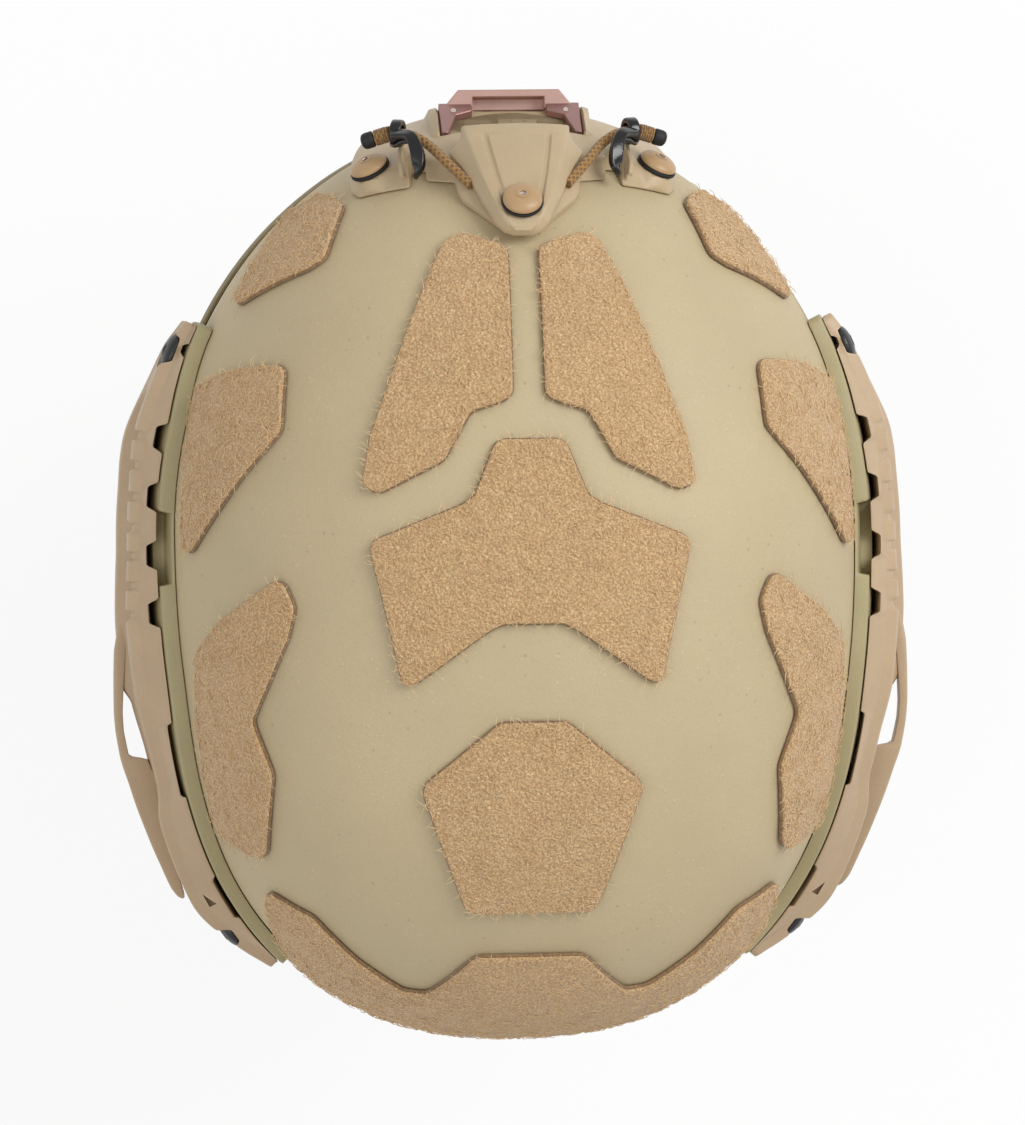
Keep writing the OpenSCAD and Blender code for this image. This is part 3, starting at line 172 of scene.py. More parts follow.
def rounded(points: Points, radius: Union[float, Sequence[float]], steps: int = 5) -> Array:
    """A closed outline with its corners rounded.

    Args:
        points: Corner points in order.
        radius: One radius, or one for each corner.
        steps: Segments of each rounded corner.

    Returns:
        The outline's points.
    """
    p = np.asarray(points, float)
    radii = np.broadcast_to(radius, (len(p),))
    out = []
    for k, r in enumerate(radii):
        a, b = p[k - 1] - p[k], p[(k + 1) % len(p)] - p[k]
        la, lb = np.linalg.norm(a), np.linalg.norm(b)
        a, b = a / la, b / lb
        half = math.acos(float(np.clip(a @ b, -0.9999, 0.9999))) / 2
        d = min(r / math.tan(half), 0.48 * la, 0.48 * lb)
        if r <= 0 or d < 1e-4:
            out.append(p[k])
            continue
        for t in np.linspace(0, 1, steps + 1):
            out.append((1 - t) ** 2 * (p[k] + a * d) + 2 * t * (1 - t) * p[k] + t ** 2 * (p[k] + b * d))
    return np.array(out)


def disc(centre: Sequence[float], radius: float, count: int = 48) -> Array:
    """A circle's points, counter-clockwise."""
    a = full_turn(count)
    return np.asarray(centre, float) + radius * np.stack([np.cos(a), np.sin(a)], axis=1)


def box_outline(centre: Sequence[float], width: float, height: float) -> Array:
    """A rectangle's corners, counter-clockwise."""
    w, h = width / 2, height / 2
    return np.asarray(centre, float) + np.array([[-w, -h], [w, -h], [w, h], [-w, h]])


def mirrored(points: Points) -> Array:
    """An outline on the other side of the middle line, with its turning sense kept."""
    return np.asarray(points, float)[::-1] * [-1, 1]


def symmetric(half: Points) -> Array:
    """A closed outline from its left half; points on the middle line aren't repeated."""
    other = mirrored(half)
    return np.vstack([half, other[other[:, 0] != 0]])


def inside(points: Array, outline: Array) -> Array:
    """Which points lie inside a closed outline."""
    x, y = points[:, 0][:, None], points[:, 1][:, None]
    a, b = outline, np.roll(outline, -1, axis=0)
    crosses = (a[:, 1] > y) != (b[:, 1] > y)
    slope = (b[:, 0] - a[:, 0]) / np.where(np.abs(b[:, 1] - a[:, 1]) < 1e-12, 1e-12, b[:, 1] - a[:, 1])
    return (np.sum(crosses & (x < a[:, 0] + slope * (y - a[:, 1])), axis=1) % 2) == 1


def inset(outline: Array, distance: float) -> Array:
    """A counter-clockwise outline moved inward by a small distance."""
    tangent = unit(np.roll(outline, -1, axis=0) - np.roll(outline, 1, axis=0))
    return outline + distance * np.stack([-tangent[:, 1], tangent[:, 0]], axis=1)


def turned_left(outline: Array) -> Array:
    """The outline in counter-clockwise order."""
    x, y = outline[:, 0], outline[:, 1]
    area = np.sum(x * np.roll(y, -1) - y * np.roll(x, -1))
    return outline if area > 0 else outline[::-1]


class Grain:
    """Smooth repeatable random values over space."""

    cells = 32

    def __init__(self, seed: int) -> None:
        """Fills the lattice from the seed."""
        self.table = np.random.default_rng(seed).uniform(-1, 1, (self.cells,) * 3)

    def at(self, points: Array, size: float) -> Array:
        """Values from -1 to 1 at points, with cells of the given size."""
        p = np.asarray(points, float) / size + 1000.5
        base = np.floor(p).astype(int)
        f = smooth(p - base)
        total = np.zeros(len(p))
        for corner in np.ndindex(2, 2, 2):
            w = np.prod(np.abs(1 - np.array(corner) - f), axis=1)
            i = (base + corner) % self.cells
            total += w * self.table[i[:, 0], i[:, 1], i[:, 2]]
        return total


# The dome that everything outside hugs
@dataclass(frozen=True)
class Dome:
    """Outer skin of the shell: a superellipse in plan under a superellipse dome, in millimetres."""

    half_w: float = 109.0
    front: float = 128.0
    back: float = 156.0
    up: float = 108.0
    down: float = 210.0
    power: float = 2.25
    front_power: float = 2.0
    back_power: float = 2.4
    map_r: float = 110.0
    wall: float = 8.0
    brow_drop: float = 9.0
    ear_drop: float = 2.5
    nape_drop: float = 22.0
    brow_end: float = 28.0
    brow_run: float = 30.0
    nape_from: float = 112.0
    nape_run: float = 55.0

    def plan_power(self, y: Array) -> Array:
        """Power of the plan's superellipse, ahead of and behind the middle."""
        return np.where(np.asarray(y) < 0, self.front_power, self.back_power)

    def reach(self, y: Array) -> Array:
        """Length of the plan's half axis."""
        return np.where(np.asarray(y) < 0, self.front, self.back)

    def height(self, z: Array) -> Array:
        """Length of the vertical half axis."""
        return np.where(np.asarray(z) > 0, self.up, self.down)

    def ratio(self, x: Array, y: Array) -> Array:
        """How far out a plan point lies, 1 on the widest line."""
        e = self.plan_power(y)
        return (np.abs(x / self.half_w) ** e + np.abs(y / self.reach(y)) ** e) ** (1 / e)

    def lifted(self, direction: Array, offset: Values) -> Array:
        """The skin point along a direction from the middle, moved out along the normal."""
        d = np.asarray(direction, float)
        size = (self.ratio(d[..., 0], d[..., 1]) ** self.power
                + np.abs(d[..., 2] / self.height(d[..., 2])) ** self.power) ** (-1 / self.power)
        p = d * size[..., None]
        return p + np.asarray(offset, float)[..., None] * self.normal(p)

    def normal(self, p: Array) -> Array:
        """Outward normal of the skin at its points."""
        p = np.asarray(p, float)
        x, y, z = p[..., 0], p[..., 1], p[..., 2]
        e = self.plan_power(y)
        k = np.maximum(self.ratio(x, y), 0.001) ** (self.power - e)
        b, h = self.reach(y), self.height(z)
        return unit(np.stack([
            k * np.sign(x) * np.abs(x / self.half_w) ** (e - 1) / self.half_w,
            k * np.sign(y) * np.abs(y / b) ** (e - 1) / b,
            np.sign(z) * np.abs(z / h) ** (self.power - 1) / h], axis=-1))

    def direction(self, uv: Array) -> Array:
        """Direction from the middle of a point of the flat map."""
        uv = np.asarray(uv, float)
        r = np.maximum(np.hypot(uv[..., 0], uv[..., 1]), 1e-6)
        a = r / self.map_r
        return np.stack([np.sin(a) * uv[..., 0] / r, np.sin(a) * uv[..., 1] / r, np.cos(a)], axis=-1)

    def skin(self, uv: Array, offset: Values = 0.0) -> Array:
        """The point over a place of the flat map, at a height over the skin."""
        return self.lifted(self.direction(uv), offset)

    def side_x(self, y: Array, z: Array) -> Array:
        """Half width of the skin at a place along Y and a height."""
        e = self.plan_power(y)
        r = (1 - np.abs(z / self.height(z)) ** self.power) ** (1 / self.power)
        return self.half_w * np.maximum(r ** e - np.abs(y / self.reach(y)) ** e, 0) ** (1 / e)

    def side_point(self, y: Array, z: Array) -> Array:
        """The skin point on the left side at a place along Y and a height."""
        y, z = np.broadcast_arrays(np.asarray(y, float), np.asarray(z, float))
        return np.stack([self.side_x(y, z), y, z], axis=-1)

    def side_out(self, y: Array, z: Array) -> Array:
        """Level outward direction at a place of the side."""
        return unit(self.normal(self.side_point(y, z)) * [1, 1, 0])

    def side_strip(self, ys: Array, mids: Array, sections: Array) -> Array:
        """Rings of a strip along the side.

        Args:
            ys: Stations along Y.
            mids: Height of the strip's middle at each station.
            sections: Points [out, up] at each station, as stations by points by 2.

        Returns:
            Points as stations by points by 3.
        """
        out = self.side_out(ys, mids)
        base = self.side_point(ys, mids)
        z = mids[:, None] + sections[..., 1]
        lean = (self.side_x(ys[:, None] + 0 * z, z) - base[:, :1]) * out[:, :1]
        p = base[:, None, :] + (sections[..., :1] + lean[..., None]) * out[:, None, :]
        p[..., 2] = z
        return p

    def rim_rise(self, azimuth: Array) -> Array:
        """Elevation of the rim in degrees, by azimuth in degrees from the front."""
        w = np.abs(azimuth)
        return (lerp(-self.brow_drop, -self.ear_drop, smooth((w - self.brow_end) / self.brow_run))
                + (self.ear_drop - self.nape_drop) * smooth((w - self.nape_from) / self.nape_run))

    def rim_direction(self, azimuth: Array, up: Values) -> Array:
        """Direction of a point above the rim by an angle in degrees."""
        a = np.radians(azimuth)
        e = np.radians(self.rim_rise(azimuth) + up)
        return np.stack([np.sin(a) * np.cos(e), -np.cos(a) * np.cos(e), np.sin(e)], axis=-1)

    def frame_at(self, point: Array, lift: float = 0.0) -> Matrix:
        """Axes with +Z along the normal at a skin point, in metres."""
        n = self.normal(point)
        side = unit(np.cross([0, 1, 0], n))
        up = np.cross(n, side)
        origin = (np.asarray(point) + lift * n) * MM
        return Matrix([[side[0], up[0], n[0], origin[0]], [side[1], up[1], n[1], origin[1]],
                       [side[2], up[2], n[2], origin[2]], [0, 0, 0, 1]])


DOME = Dome()
# The dome that the hooks' joints were placed on: the cords and hooks keep to it
JOINT_DOME = Dome(back=152.0, front_power=2.2, back_power=2.35)


# Meshes
class Shape:
    """Points in millimetres with faces and optional map coordinates, gathered bit by bit."""

    def __init__(self) -> None:
        """Starts empty."""
        self.points: List[Array] = []
        self.faces: Faces = []
        self.uvs: List[Array] = []
        self.count = 0

    def add(self, points: Array, faces: Faces, uv: Optional[Array] = None) -> "Shape":
        """Adds points and faces that count from the first of them."""
        points = np.asarray(points, float).reshape(-1, 3)
        self.faces += [tuple(i + self.count for i in f) for f in faces]
        self.points.append(points)
        self.uvs.append(np.zeros((len(points), 2)) if uv is None else np.asarray(uv, float).reshape(-1, 2))
        self.count += len(points)
        return self

    def grid(self, rows: Array, ring: bool = False, caps: bool = False,
             uv: Optional[Array] = None) -> "Shape":
        """Adds a surface through closed rows of points.

        Args:
            rows: Points as rows by columns by 3.
            ring: Joins the last row to the first.
            caps: Closes the first and the last row.
            uv: Map coordinates as rows by columns by 2.

        Returns:
            The shape itself.
        """
        m, n = rows.shape[:2]
        faces: Faces = []
        for j in range(m if ring else m - 1):
            k = (j + 1) % m
            for i in range(n):
                h = (i + 1) % n
                faces.append((j * n + i, j * n + h, k * n + h, k * n + i))
        if caps:
            faces.append(tuple(range(n))[::-1])
            faces.append(tuple((m - 1) * n + i for i in range(n)))
        return self.add(rows, faces, uv)

    def revolve(self, profile: Points, place: Matrix, sides: int = 48) -> "Shape":
        """Adds a turned form from points [radius, height]; place is in metres."""
        p = np.asarray(profile, float)
        a = full_turn(sides)
        rows = np.stack([p[:, :1] * np.cos(a), p[:, :1] * np.sin(a),
                         np.broadcast_to(p[:, 1:], (len(p), sides))], axis=-1)
        return self.grid(placed(rows, place), caps=True)

    def sweep(self, path: Array, section: Array, up: Array, ring: bool = False,
              scale: Optional[Array] = None) -> "Shape":
        """Adds a section carried along a path.

        Args:
            path: Points of the path.
            section: Points [across, up] of the section, or one section for each point of the path.
            up: The section's up direction, one or one for each point.
            ring: Closes the path.
            scale: Size of the section at each point.

        Returns:
            The shape itself.
        """
        p = np.asarray(path, float)
        if ring:
            t = unit(np.roll(p, -1, axis=0) - np.roll(p, 1, axis=0))
        else:
            t = unit(np.gradient(p, axis=0))
        u = np.broadcast_to(np.asarray(up, float), p.shape)
        u = squared(u, t)
        side = np.cross(t, u)
        s = np.broadcast_to(np.asarray(section, float), (len(p),) + np.asarray(section).shape[-2:])
        k = np.ones(len(p)) if scale is None else np.asarray(scale, float)
        rows = (p[:, None, :]
                + k[:, None, None] * (s[..., :1] * side[:, None, :] + s[..., 1:] * u[:, None, :]))
        along = arc_lengths(p)
        round_s = np.concatenate([[0], np.cumsum(np.linalg.norm(np.diff(s[0], axis=0), axis=1))])
        uv = np.stack(np.broadcast_arrays(round_s[None, :], along[:, None]), axis=-1)
        return self.grid(rows, ring=ring, caps=not ring, uv=uv)

    def prism(self, outline: Array, low: float, high: float, place: Matrix) -> "Shape":
        """Adds an outline drawn up from one height to another; place is in metres."""
        flat = np.asarray(outline, float)
        rows = np.stack([np.column_stack([flat, np.full(len(flat), z)]) for z in (low, high)])
        return self.grid(placed(rows, place), caps=True)

    def box(self, centre: Sequence[float], size: Sequence[float], place: Matrix) -> "Shape":
        """Adds a block by its centre and size; place is in metres."""
        x, y, z = centre
        return self.prism(box_outline((x, y), size[0], size[1]), z - size[2] / 2, z + size[2] / 2, place)

    def join(self, other: "Shape") -> "Shape":
        """Adds all of another shape."""
        return self.add(np.concatenate(other.points), other.faces, np.concatenate(other.uvs))

    def mirror(self) -> "Shape":
        """A copy of the shape on the other side of the middle plane."""
        other = Shape()
        other.add(np.concatenate(self.points) * [-1, 1, 1], [f[::-1] for f in self.faces],
                  np.concatenate(self.uvs))
        return other

    def both(self) -> "Shape":
        """The shape together with its mirror image."""
        return self.join(self.mirror())

    def piece(self, name: str, finish: "Finish", nodes: Sequence[str] = (), slot: str = "",
              sharp: float = 40.0) -> Object:
        """Makes the piece of the scene.

        Args:
            name: Name of the piece.
            finish: Its finish.
            nodes: CAD nodes that it stands for.
            slot: Material slot of the record, where it isn't the finish's own; not used.
            sharp: Edges that turn by more than this many degrees stay sharp.

        Returns:
            The new object.
        """
        mesh = bpy.data.meshes.new(name)
        points = np.concatenate(self.points) * MM
        mesh.from_pydata(points.tolist(), [], self.faces)
        mesh.update()
        uv = np.concatenate(self.uvs)
        if np.any(uv):
            layer = mesh.uv_layers.new(name="along")
            loops = np.empty(len(mesh.loops), int)
            mesh.loops.foreach_get("vertex_index", loops)
            layer.data.foreach_set("uv", (uv[loops] * MM * 100).astype(np.float32).ravel())
        obj = linked(name, mesh)
        tidy_mesh(mesh, sharp)
        return register(obj, finish, nodes)


def pair(shape: Shape, name: str, finish: "Finish", node: str = "", sharp: float = 40.0) -> None:
    """Makes a left piece and its mirror image on the right.

    Args:
        shape: The left shape.
        name: Name of the pieces without their side.
        finish: Their finish.
        node: CAD node that each stands for, without its side.
        sharp: Edges that turn by more than this many degrees stay sharp.
    """
    for side, form in (("left_", shape), ("right_", shape.mirror())):
        form.piece(side + name, finish, [side + node] if node else (), sharp=sharp)


def linked(name: str, data: bpy.types.ID) -> Object:
    """A new object in the scene."""
    obj = bpy.data.objects.new(name, data)
    bpy.context.scene.collection.objects.link(obj)
    return obj


def tidy_mesh(mesh: Mesh, sharp: float) -> None:
    """Turns faces outward, shades them smooth and keeps the sharp edges."""
    bm = bmesh.new()
    bm.from_mesh(mesh)
    bmesh.ops.recalc_face_normals(bm, faces=bm.faces[:])
    bm.to_mesh(mesh)
    bm.free()
    mesh.polygons.foreach_set("use_smooth", [True] * len(mesh.polygons))
    mesh.set_sharp_from_angle(angle=math.radians(sharp))
    mesh.update()


def mesh_of(shape: Shape) -> Mesh:
    """A plain mesh of a cutting shape, with its faces turned outward."""
    mesh = bpy.data.meshes.new("cutter")
    mesh.from_pydata((np.concatenate(shape.points) * MM).tolist(), [], shape.faces)
    tidy_mesh(mesh, 30)
    return mesh


def bake_modifiers(obj: Object) -> None:
    """Puts the result of a piece's modifiers in place of its mesh."""
    old = obj.data
    made = bpy.data.meshes.new_from_object(obj.evaluated_get(bpy.context.evaluated_depsgraph_get()))
    obj.modifiers.clear()
    obj.data = made
    bpy.data.meshes.remove(old)


def carve(obj: Object, cutter: Shape, sharp: float) -> None:
    """Cuts closed forms out of a piece."""
    tool = linked("cutter", mesh_of(cutter))
    cut = obj.modifiers.new("cut", "BOOLEAN")
    cut.operation = "DIFFERENCE"
    cut.solver = "EXACT"
    cut.object = tool
    bake_modifiers(obj)
    old = tool.data
    bpy.data.objects.remove(tool)
    bpy.data.meshes.remove(old)
    tidy_mesh(obj.data, sharp)


def soften(obj: Object, width: float) -> None:
    """Rounds a piece's sharp edges; width is in millimetres."""
    bevel = obj.modifiers.new("bevel", "BEVEL")
    bevel.width = width * MM
    bevel.segments = SOFT_STEPS
    bevel.limit_method = "ANGLE"
    bevel.angle_limit = math.radians(SOFT_ANGLE)
    bevel.use_clamp_overlap = True
    level = obj.modifiers.new("level", "WEIGHTED_NORMAL")
    level.keep_sharp = True
    obj.data.polygons.foreach_set("use_smooth", [True] * len(obj.data.polygons))
    bake_modifiers(obj)


def softened_node(node: str, name: str, finish: "Finish", width: float) -> None:
    """A copy of a CAD node with its flats joined and its edges rounded.

    Args:
        node: The CAD node.
        name: Name of the piece.
        finish: Its finish.
        width: Width of the rounded edges, in millimetres.
    """
    mesh = frame["nodes"][node].data.copy()
    mesh.name = name
    bm = bmesh.new()
    bm.from_mesh(mesh)
    bmesh.ops.remove_doubles(bm, verts=bm.verts[:], dist=1e-6)
    bmesh.ops.dissolve_limit(bm, angle_limit=math.radians(1.5), verts=bm.verts[:], edges=bm.edges[:])
    bm.to_mesh(mesh)
    bm.free()
    obj = linked(name, mesh)
    soften(obj, width)
    register(obj, finish, [node])


def mirror_piece(obj: Object, name: str, finish: "Finish", node: str) -> None:
    """The same piece on the other side of the middle plane."""
    mesh = obj.data.copy()
    mesh.name = name
    mesh.transform(Matrix.Diagonal((-1, 1, 1, 1)))
    mesh.flip_normals()
    register(linked(name, mesh), finish, [node])


def read_points(mesh: Mesh) -> Array:
    """A mesh's points, in millimetres."""
    flat = np.empty(len(mesh.vertices) * 3, np.float32)
    mesh.vertices.foreach_get("co", flat)
    return flat.reshape(-1, 3).astype(float) / MM


def write_points(mesh: Mesh, points: Array) -> None:
    """Moves a mesh's points, given in millimetres."""
    mesh.vertices.foreach_set("co", (points * MM).astype(np.float32).ravel())
    mesh.update()


class PchipLine:
    """A smooth line through points that doesn't overshoot."""

    def __init__(self, s: Array, points: Array) -> None:
        """Finds the slopes at the points."""
        self.s, self.points = s, points
        step = np.diff(s)[:, None]
        rate = np.diff(points, axis=0) / step
        slope = np.vstack([rate[:1], np.zeros((len(s) - 2, points.shape[1])), rate[-1:]])
        same = rate[:-1] * rate[1:] > 0
        mean = 2 * rate[:-1] * rate[1:] / np.where(same, rate[:-1] + rate[1:], 1)
        slope[1:-1] = np.where(same, mean, 0)
        self.slope = slope

    def at(self, places: Array) -> Array:
        """Points at distances along the line."""
        k = np.clip(np.searchsorted(self.s, places, side="right") - 1, 0, len(self.s) - 2)
        h = (self.s[k + 1] - self.s[k])[:, None]
        t = (places - self.s[k])[:, None] / h
        p, q = self.points[k], self.points[k + 1]
        return (p * (1 + 2 * t) * (1 - t) ** 2 + q * t * t * (3 - 2 * t)
                + h * (self.slope[k] * t * (1 - t) ** 2 - self.slope[k + 1] * t * t * (1 - t)))


def register(obj: Object, finish: "Finish", nodes: Sequence[str]) -> Object:
    """Gives a piece its finish and hides the CAD nodes that it stands for; it rides where its first node
    does.

    Args:
        obj: The piece.
        finish: Its finish.
        nodes: CAD nodes that it stands for.

    Returns:
        The piece.
    """
    body = body_of(frame["nodes"][nodes[0]])[0] if nodes else ROOT_BODY
    obj.data.materials.clear()
    obj.data.materials.append(finish.material())
    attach(obj, body)
    if nodes:
        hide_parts(*nodes)
    LOG.info("piece %s on %s", obj.name, body)
    return obj


def placed(points: Array, place: Matrix) -> Array:
    """Points in millimetres moved into axes whose origin is in metres."""
    m = np.array(place)
    return points @ m[:3, :3].T + m[:3, 3] / MM


def fill_flat(outline: Array, step: float) -> Tuple[Array, Faces]:
    """Triangles inside a flat outline, with a grid of points to follow a curve.

    Args:
        outline: The closed outline; its points come first in the result.
        step: Spacing of the grid inside.

    Returns:
        The flat points and the triangles.
    """
    low, high = outline.min(axis=0), outline.max(axis=0)
    row_share, clear_share, batch = 0.87, 0.55, 2000
    gx, gy = np.meshgrid(np.arange(low[0], high[0], step), np.arange(low[1], high[1], step * row_share))
    gx = gx + (np.arange(gx.shape[0]) % 2)[:, None] * step / 2
    grid = np.stack([gx.ravel(), gy.ravel()], axis=1)
    grid = grid[inside(grid, outline)]
    keep = np.ones(len(grid), bool)
    for k in range(0, len(grid), batch):
        d = np.linalg.norm(grid[k:k + batch, None, :] - outline[None, :, :], axis=2).min(axis=1)
        keep[k:k + batch] = d > clear_share * step
    points = np.vstack([outline, grid[keep]])
    n = len(outline)
    edges = [(i, (i + 1) % n) for i in range(n)]
    result = delaunay_2d_cdt([Vector(p) for p in points], edges, [], 0, 1e-6)
    origin = [o[0] if o else -1 for o in result[3]]
    tris = [tuple(origin[i] for i in f) for f in result[2]]
    tris = [t for t in tris if min(t) >= 0]
    good = inside(points[np.array(tris)].mean(axis=1), outline)
    return points, [t for t, g in zip(tris, good) if g]


def dome_plate(outline: Array, low: float, high: Union[float, Callable[[Array], Array]], edge: float,
               step: float, spacing: float, rough: float = 0.0) -> Shape:
    """A plate that hugs the dome, from an outline in the flat map.

    Args:
        outline: The plate's outline in the flat map.
        low: Height of its back over the skin.
        high: Height of its face, or a function of places in the flat map.
        edge: Radius of its rounded edge.
        step: Spacing of the points on its face.
        spacing: Spacing of the points on its outline.
        rough: Height of the random roughness of its face.

    Returns:
        The closed shape.
    """
    rim = resample(turned_left(np.asarray(outline, float)), spacing, closed=True)
    top = high if callable(high) else (lambda uv: np.full(len(uv), float(high)))
    levels = [(edge * 0.5, 0.0, True), (0.0, edge * 0.5, True), (0.0, edge, False),
              (edge * 0.3, edge * 0.3, False), (edge, 0.0, False)]
    rows = []
    for shrink, drop, is_back in levels:
        loop = inset(rim, shrink)
        rows.append(DOME.skin(loop, low + drop if is_back else top(loop) - drop))
    shape = Shape().grid(np.stack(rows), uv=np.repeat(rim[None], len(rows), axis=0))
    face_edge = inset(rim, edge)
    points, tris = fill_flat(face_edge, step)
    height = top(points)
    if rough:
        grain = Grain(ROUGH_SEED)
        flat = np.column_stack([points, np.zeros(len(points))])
        height = height + rough * (0.6 * grain.at(flat, 1.1) + 0.4 * grain.at(flat + 7, 2.6))
        height[:len(face_edge)] = top(face_edge)
    shape.add(DOME.skin(points, height), tris, points)
    back, back_tris = fill_flat(inset(rim, edge * 0.5), max(step, 4.0))
    return shape.add(DOME.skin(back, low), [t[::-1] for t in back_tris], back)


# Shader maths
class Sock:
    """An output socket, on which arithmetic adds Math nodes."""

    def __init__(self, graph: "Graph", socket: bpy.types.NodeSocket) -> None:
        """Wraps the socket."""
        self.graph = graph
        self.socket = socket

    def _math(self, operation: str, *values: "Value") -> "Sock":
        """Adds a Math node."""
        return self.graph.node("ShaderNodeMath", {"operation": operation}, list(values))

    def __add__(self, other: "Value") -> "Sock":
        """Sum."""
        return self._math("ADD", self, other)

    __radd__ = __add__

    def __sub__(self, other: "Value") -> "Sock":
        """Difference."""
        return self._math("SUBTRACT", self, other)

    def __rsub__(self, other: "Value") -> "Sock":
        """Difference the other way."""
        return self._math("SUBTRACT", other, self)

    def __mul__(self, other: "Value") -> "Sock":
        """Product."""
        return self._math("MULTIPLY", self, other)

    __rmul__ = __mul__

    def sin(self) -> "Sock":
        """Sine."""
        return self._math("SINE", self)

    def most(self, other: "Value") -> "Sock":
        """The larger of two values."""
        return self._math("MAXIMUM", self, other)

    def span(self, low: float, high: float, to_low: float = 0.0, to_high: float = 1.0) -> "Sock":
        """Maps a range onto another and holds it there."""
        return self.graph.node("ShaderNodeMapRange", {"clamp": True}, [self, low, high, to_low, to_high])


Value = Union[Sock, int, float]
Colour = Triple


class Graph:
    """The nodes of a material or of the world, round its own shader."""

    def __init__(self, owner: bpy.types.ID, shader: str = "Principled BSDF") -> None:
        """Starts with the shader that its owner has."""
        self.owner = owner
        owner.use_nodes = True
        self.tree = owner.node_tree
        self.shader = self.tree.nodes[shader]

    def node(self, kind: str, settings: Optional[dict] = None, inputs: Union[list, dict, None] = None,
             output: Union[int, str] = 0) -> Sock:
        """Adds a node.

        Args:
            kind: The node's type.
            settings: Its own settings, set first.
            inputs: Values or links of its sockets, in order or by name.
            output: Which output to use.

        Returns:
            The chosen output.
        """
        n = self.tree.nodes.new(kind)
        for key, value in (settings or {}).items():
            setattr(n, key, value)
        items = inputs.items() if isinstance(inputs, dict) else enumerate(inputs or [])
        for key, value in items:
            self.feed(n.inputs[key], value)
        return Sock(self, n.outputs[output])

    def feed(self, socket: bpy.types.NodeSocket, value: object) -> None:
        """Links or sets one socket."""
        if isinstance(value, Sock):
            self.tree.links.new(value.socket, socket)
        elif isinstance(value, tuple) and len(value) == 3 and socket.type == "RGBA":
            socket.default_value = (*value, 1)
        elif value is not None:
            socket.default_value = value

    def place(self) -> Sock:
        """Place on the object, in metres."""
        return self.node("ShaderNodeTexCoord", output="Object")

    def uv(self) -> Tuple[Sock, Sock]:
        """Map coordinates, each unit being 10 mm."""
        split = self.node("ShaderNodeSeparateXYZ", {}, [self.node("ShaderNodeTexCoord", output="UV")])
        return split, Sock(self, split.socket.node.outputs[1])

    def noise(self, scale: float, detail: float = 3.0, rough: float = 0.55) -> Sock:
        """Soft noise, from 0 to 1; scale is in cells per metre."""
        return self.node("ShaderNodeTexNoise", {}, {"Vector": self.place(), "Scale": scale, "Detail": detail,
                                                    "Roughness": rough})

    def cells(self, scale: float) -> Sock:
        """Distance to the nearest cell centre."""
        return self.node("ShaderNodeTexVoronoi", {}, {"Vector": self.place(), "Scale": scale}, "Distance")

    def mix(self, factor: Value, a: Union[Sock, Colour], b: Union[Sock, Colour]) -> Sock:
        """Blend of two colours."""
        return self.node("ShaderNodeMix", {"data_type": "RGBA"}, {0: factor, 6: a, 7: b}, 2)

    def bump(self, height: Sock, distance: float) -> Sock:
        """A normal from a height in the shader."""
        return self.node("ShaderNodeBump", {}, {"Height": height, "Distance": distance}, "Normal")

    def finish(self, **sockets: object) -> bpy.types.ID:
        """Sets the shader's sockets; an underscore stands for a space."""
        for name, value in sockets.items():
            self.feed(self.shader.inputs[name.replace("_", " ")], value)
        return self.owner


def srgb(r: float, g: float, b: float) -> Colour:
    """A colour given from 0 to 255 as it shows on screen."""
    def linear(c: float) -> float:
        """One channel as light."""
        c /= 255
        return c / 12.92 if c <= 0.04045 else ((c + 0.055) / 1.055) ** 2.4
    return (linear(r), linear(g), linear(b))


@dataclass(frozen=True)
class Finish:
    """A finish, whose material is made once."""

    name: str
    slot: str
    colour: Colour
    rough: float = 0.5

    def tint(self, share: float, extra: float = 0.0) -> Colour:
        """The colour made darker or paler."""
        return tuple(min(c * share + extra, 1) for c in self.colour)

    def material(self) -> bpy.types.Material:
        """The material, made on first use."""
        name = "finish_" + self.name
        made = bpy.data.materials.get(name)
        return made or self.build(Graph(bpy.data.materials.new(name)))

    def build(self, g: Graph) -> bpy.types.Material:
        """Fills the material; a plain one by default."""
        return g.finish(Base_Color=self.colour, Roughness=self.rough)


@dataclass(frozen=True)
class Paint(Finish):
    """Sprayed paint with a fine tooth, faint clouds and tiny specks."""

    tooth: float = 1400.0
    depth: float = 0.00012
    specks: float = 0.28

    def build(self, g: Graph) -> bpy.types.Material:
        """Fills the material."""
        cloud = g.noise(16, 5, 0.6).span(0.36, 0.66)
        base = g.mix(cloud, self.tint(0.955), self.tint(1.035))
        fine = g.noise(self.tooth, 2, 0.7)
        base = g.mix(fine.span(0.50, 0.74) * 0.35, base, self.tint(0.80))
        spots = g.cells(330).span(0.10, 0.20, 1, 0) * g.noise(60, 1).span(0.46, 0.60) * self.specks
        base = g.mix(spots, base, self.tint(1.35, 0.02))
        pits = g.cells(210).span(0.07, 0.13, 1, 0) * g.noise(43, 1).span(0.46, 0.58) * self.specks * 1.6
        base = g.mix(pits, base, self.tint(0.55))
        height = fine + g.noise(self.tooth * 0.4, 2) * 0.6 + spots * 2.5
        return g.finish(Base_Color=base, Roughness=(fine * 0.12 + (self.rough - 0.06)),
                        Normal=g.bump(height, self.depth))


@dataclass(frozen=True)
class Moulding(Finish):
    """Moulded polymer or rubber with a fine grain."""

    grain: float = 1800.0
    depth: float = 0.00005
    coat: float = 0.0

    def build(self, g: Graph) -> bpy.types.Material:
        """Fills the material."""
        fine = g.noise(self.grain, 2, 0.6)
        wear = g.noise(70, 4, 0.6).span(0.4, 0.75)
        base = g.mix(wear * 0.35, self.colour, self.tint(1.22, 0.004))
        base = g.mix(fine.span(0.45, 0.7) * 0.25, base, self.tint(0.8))
        return g.finish(Base_Color=base, Roughness=wear * -0.06 + fine * 0.1 + (self.rough - 0.03),
                        Coat_Weight=self.coat, Coat_Roughness=0.12, Normal=g.bump(fine, self.depth))


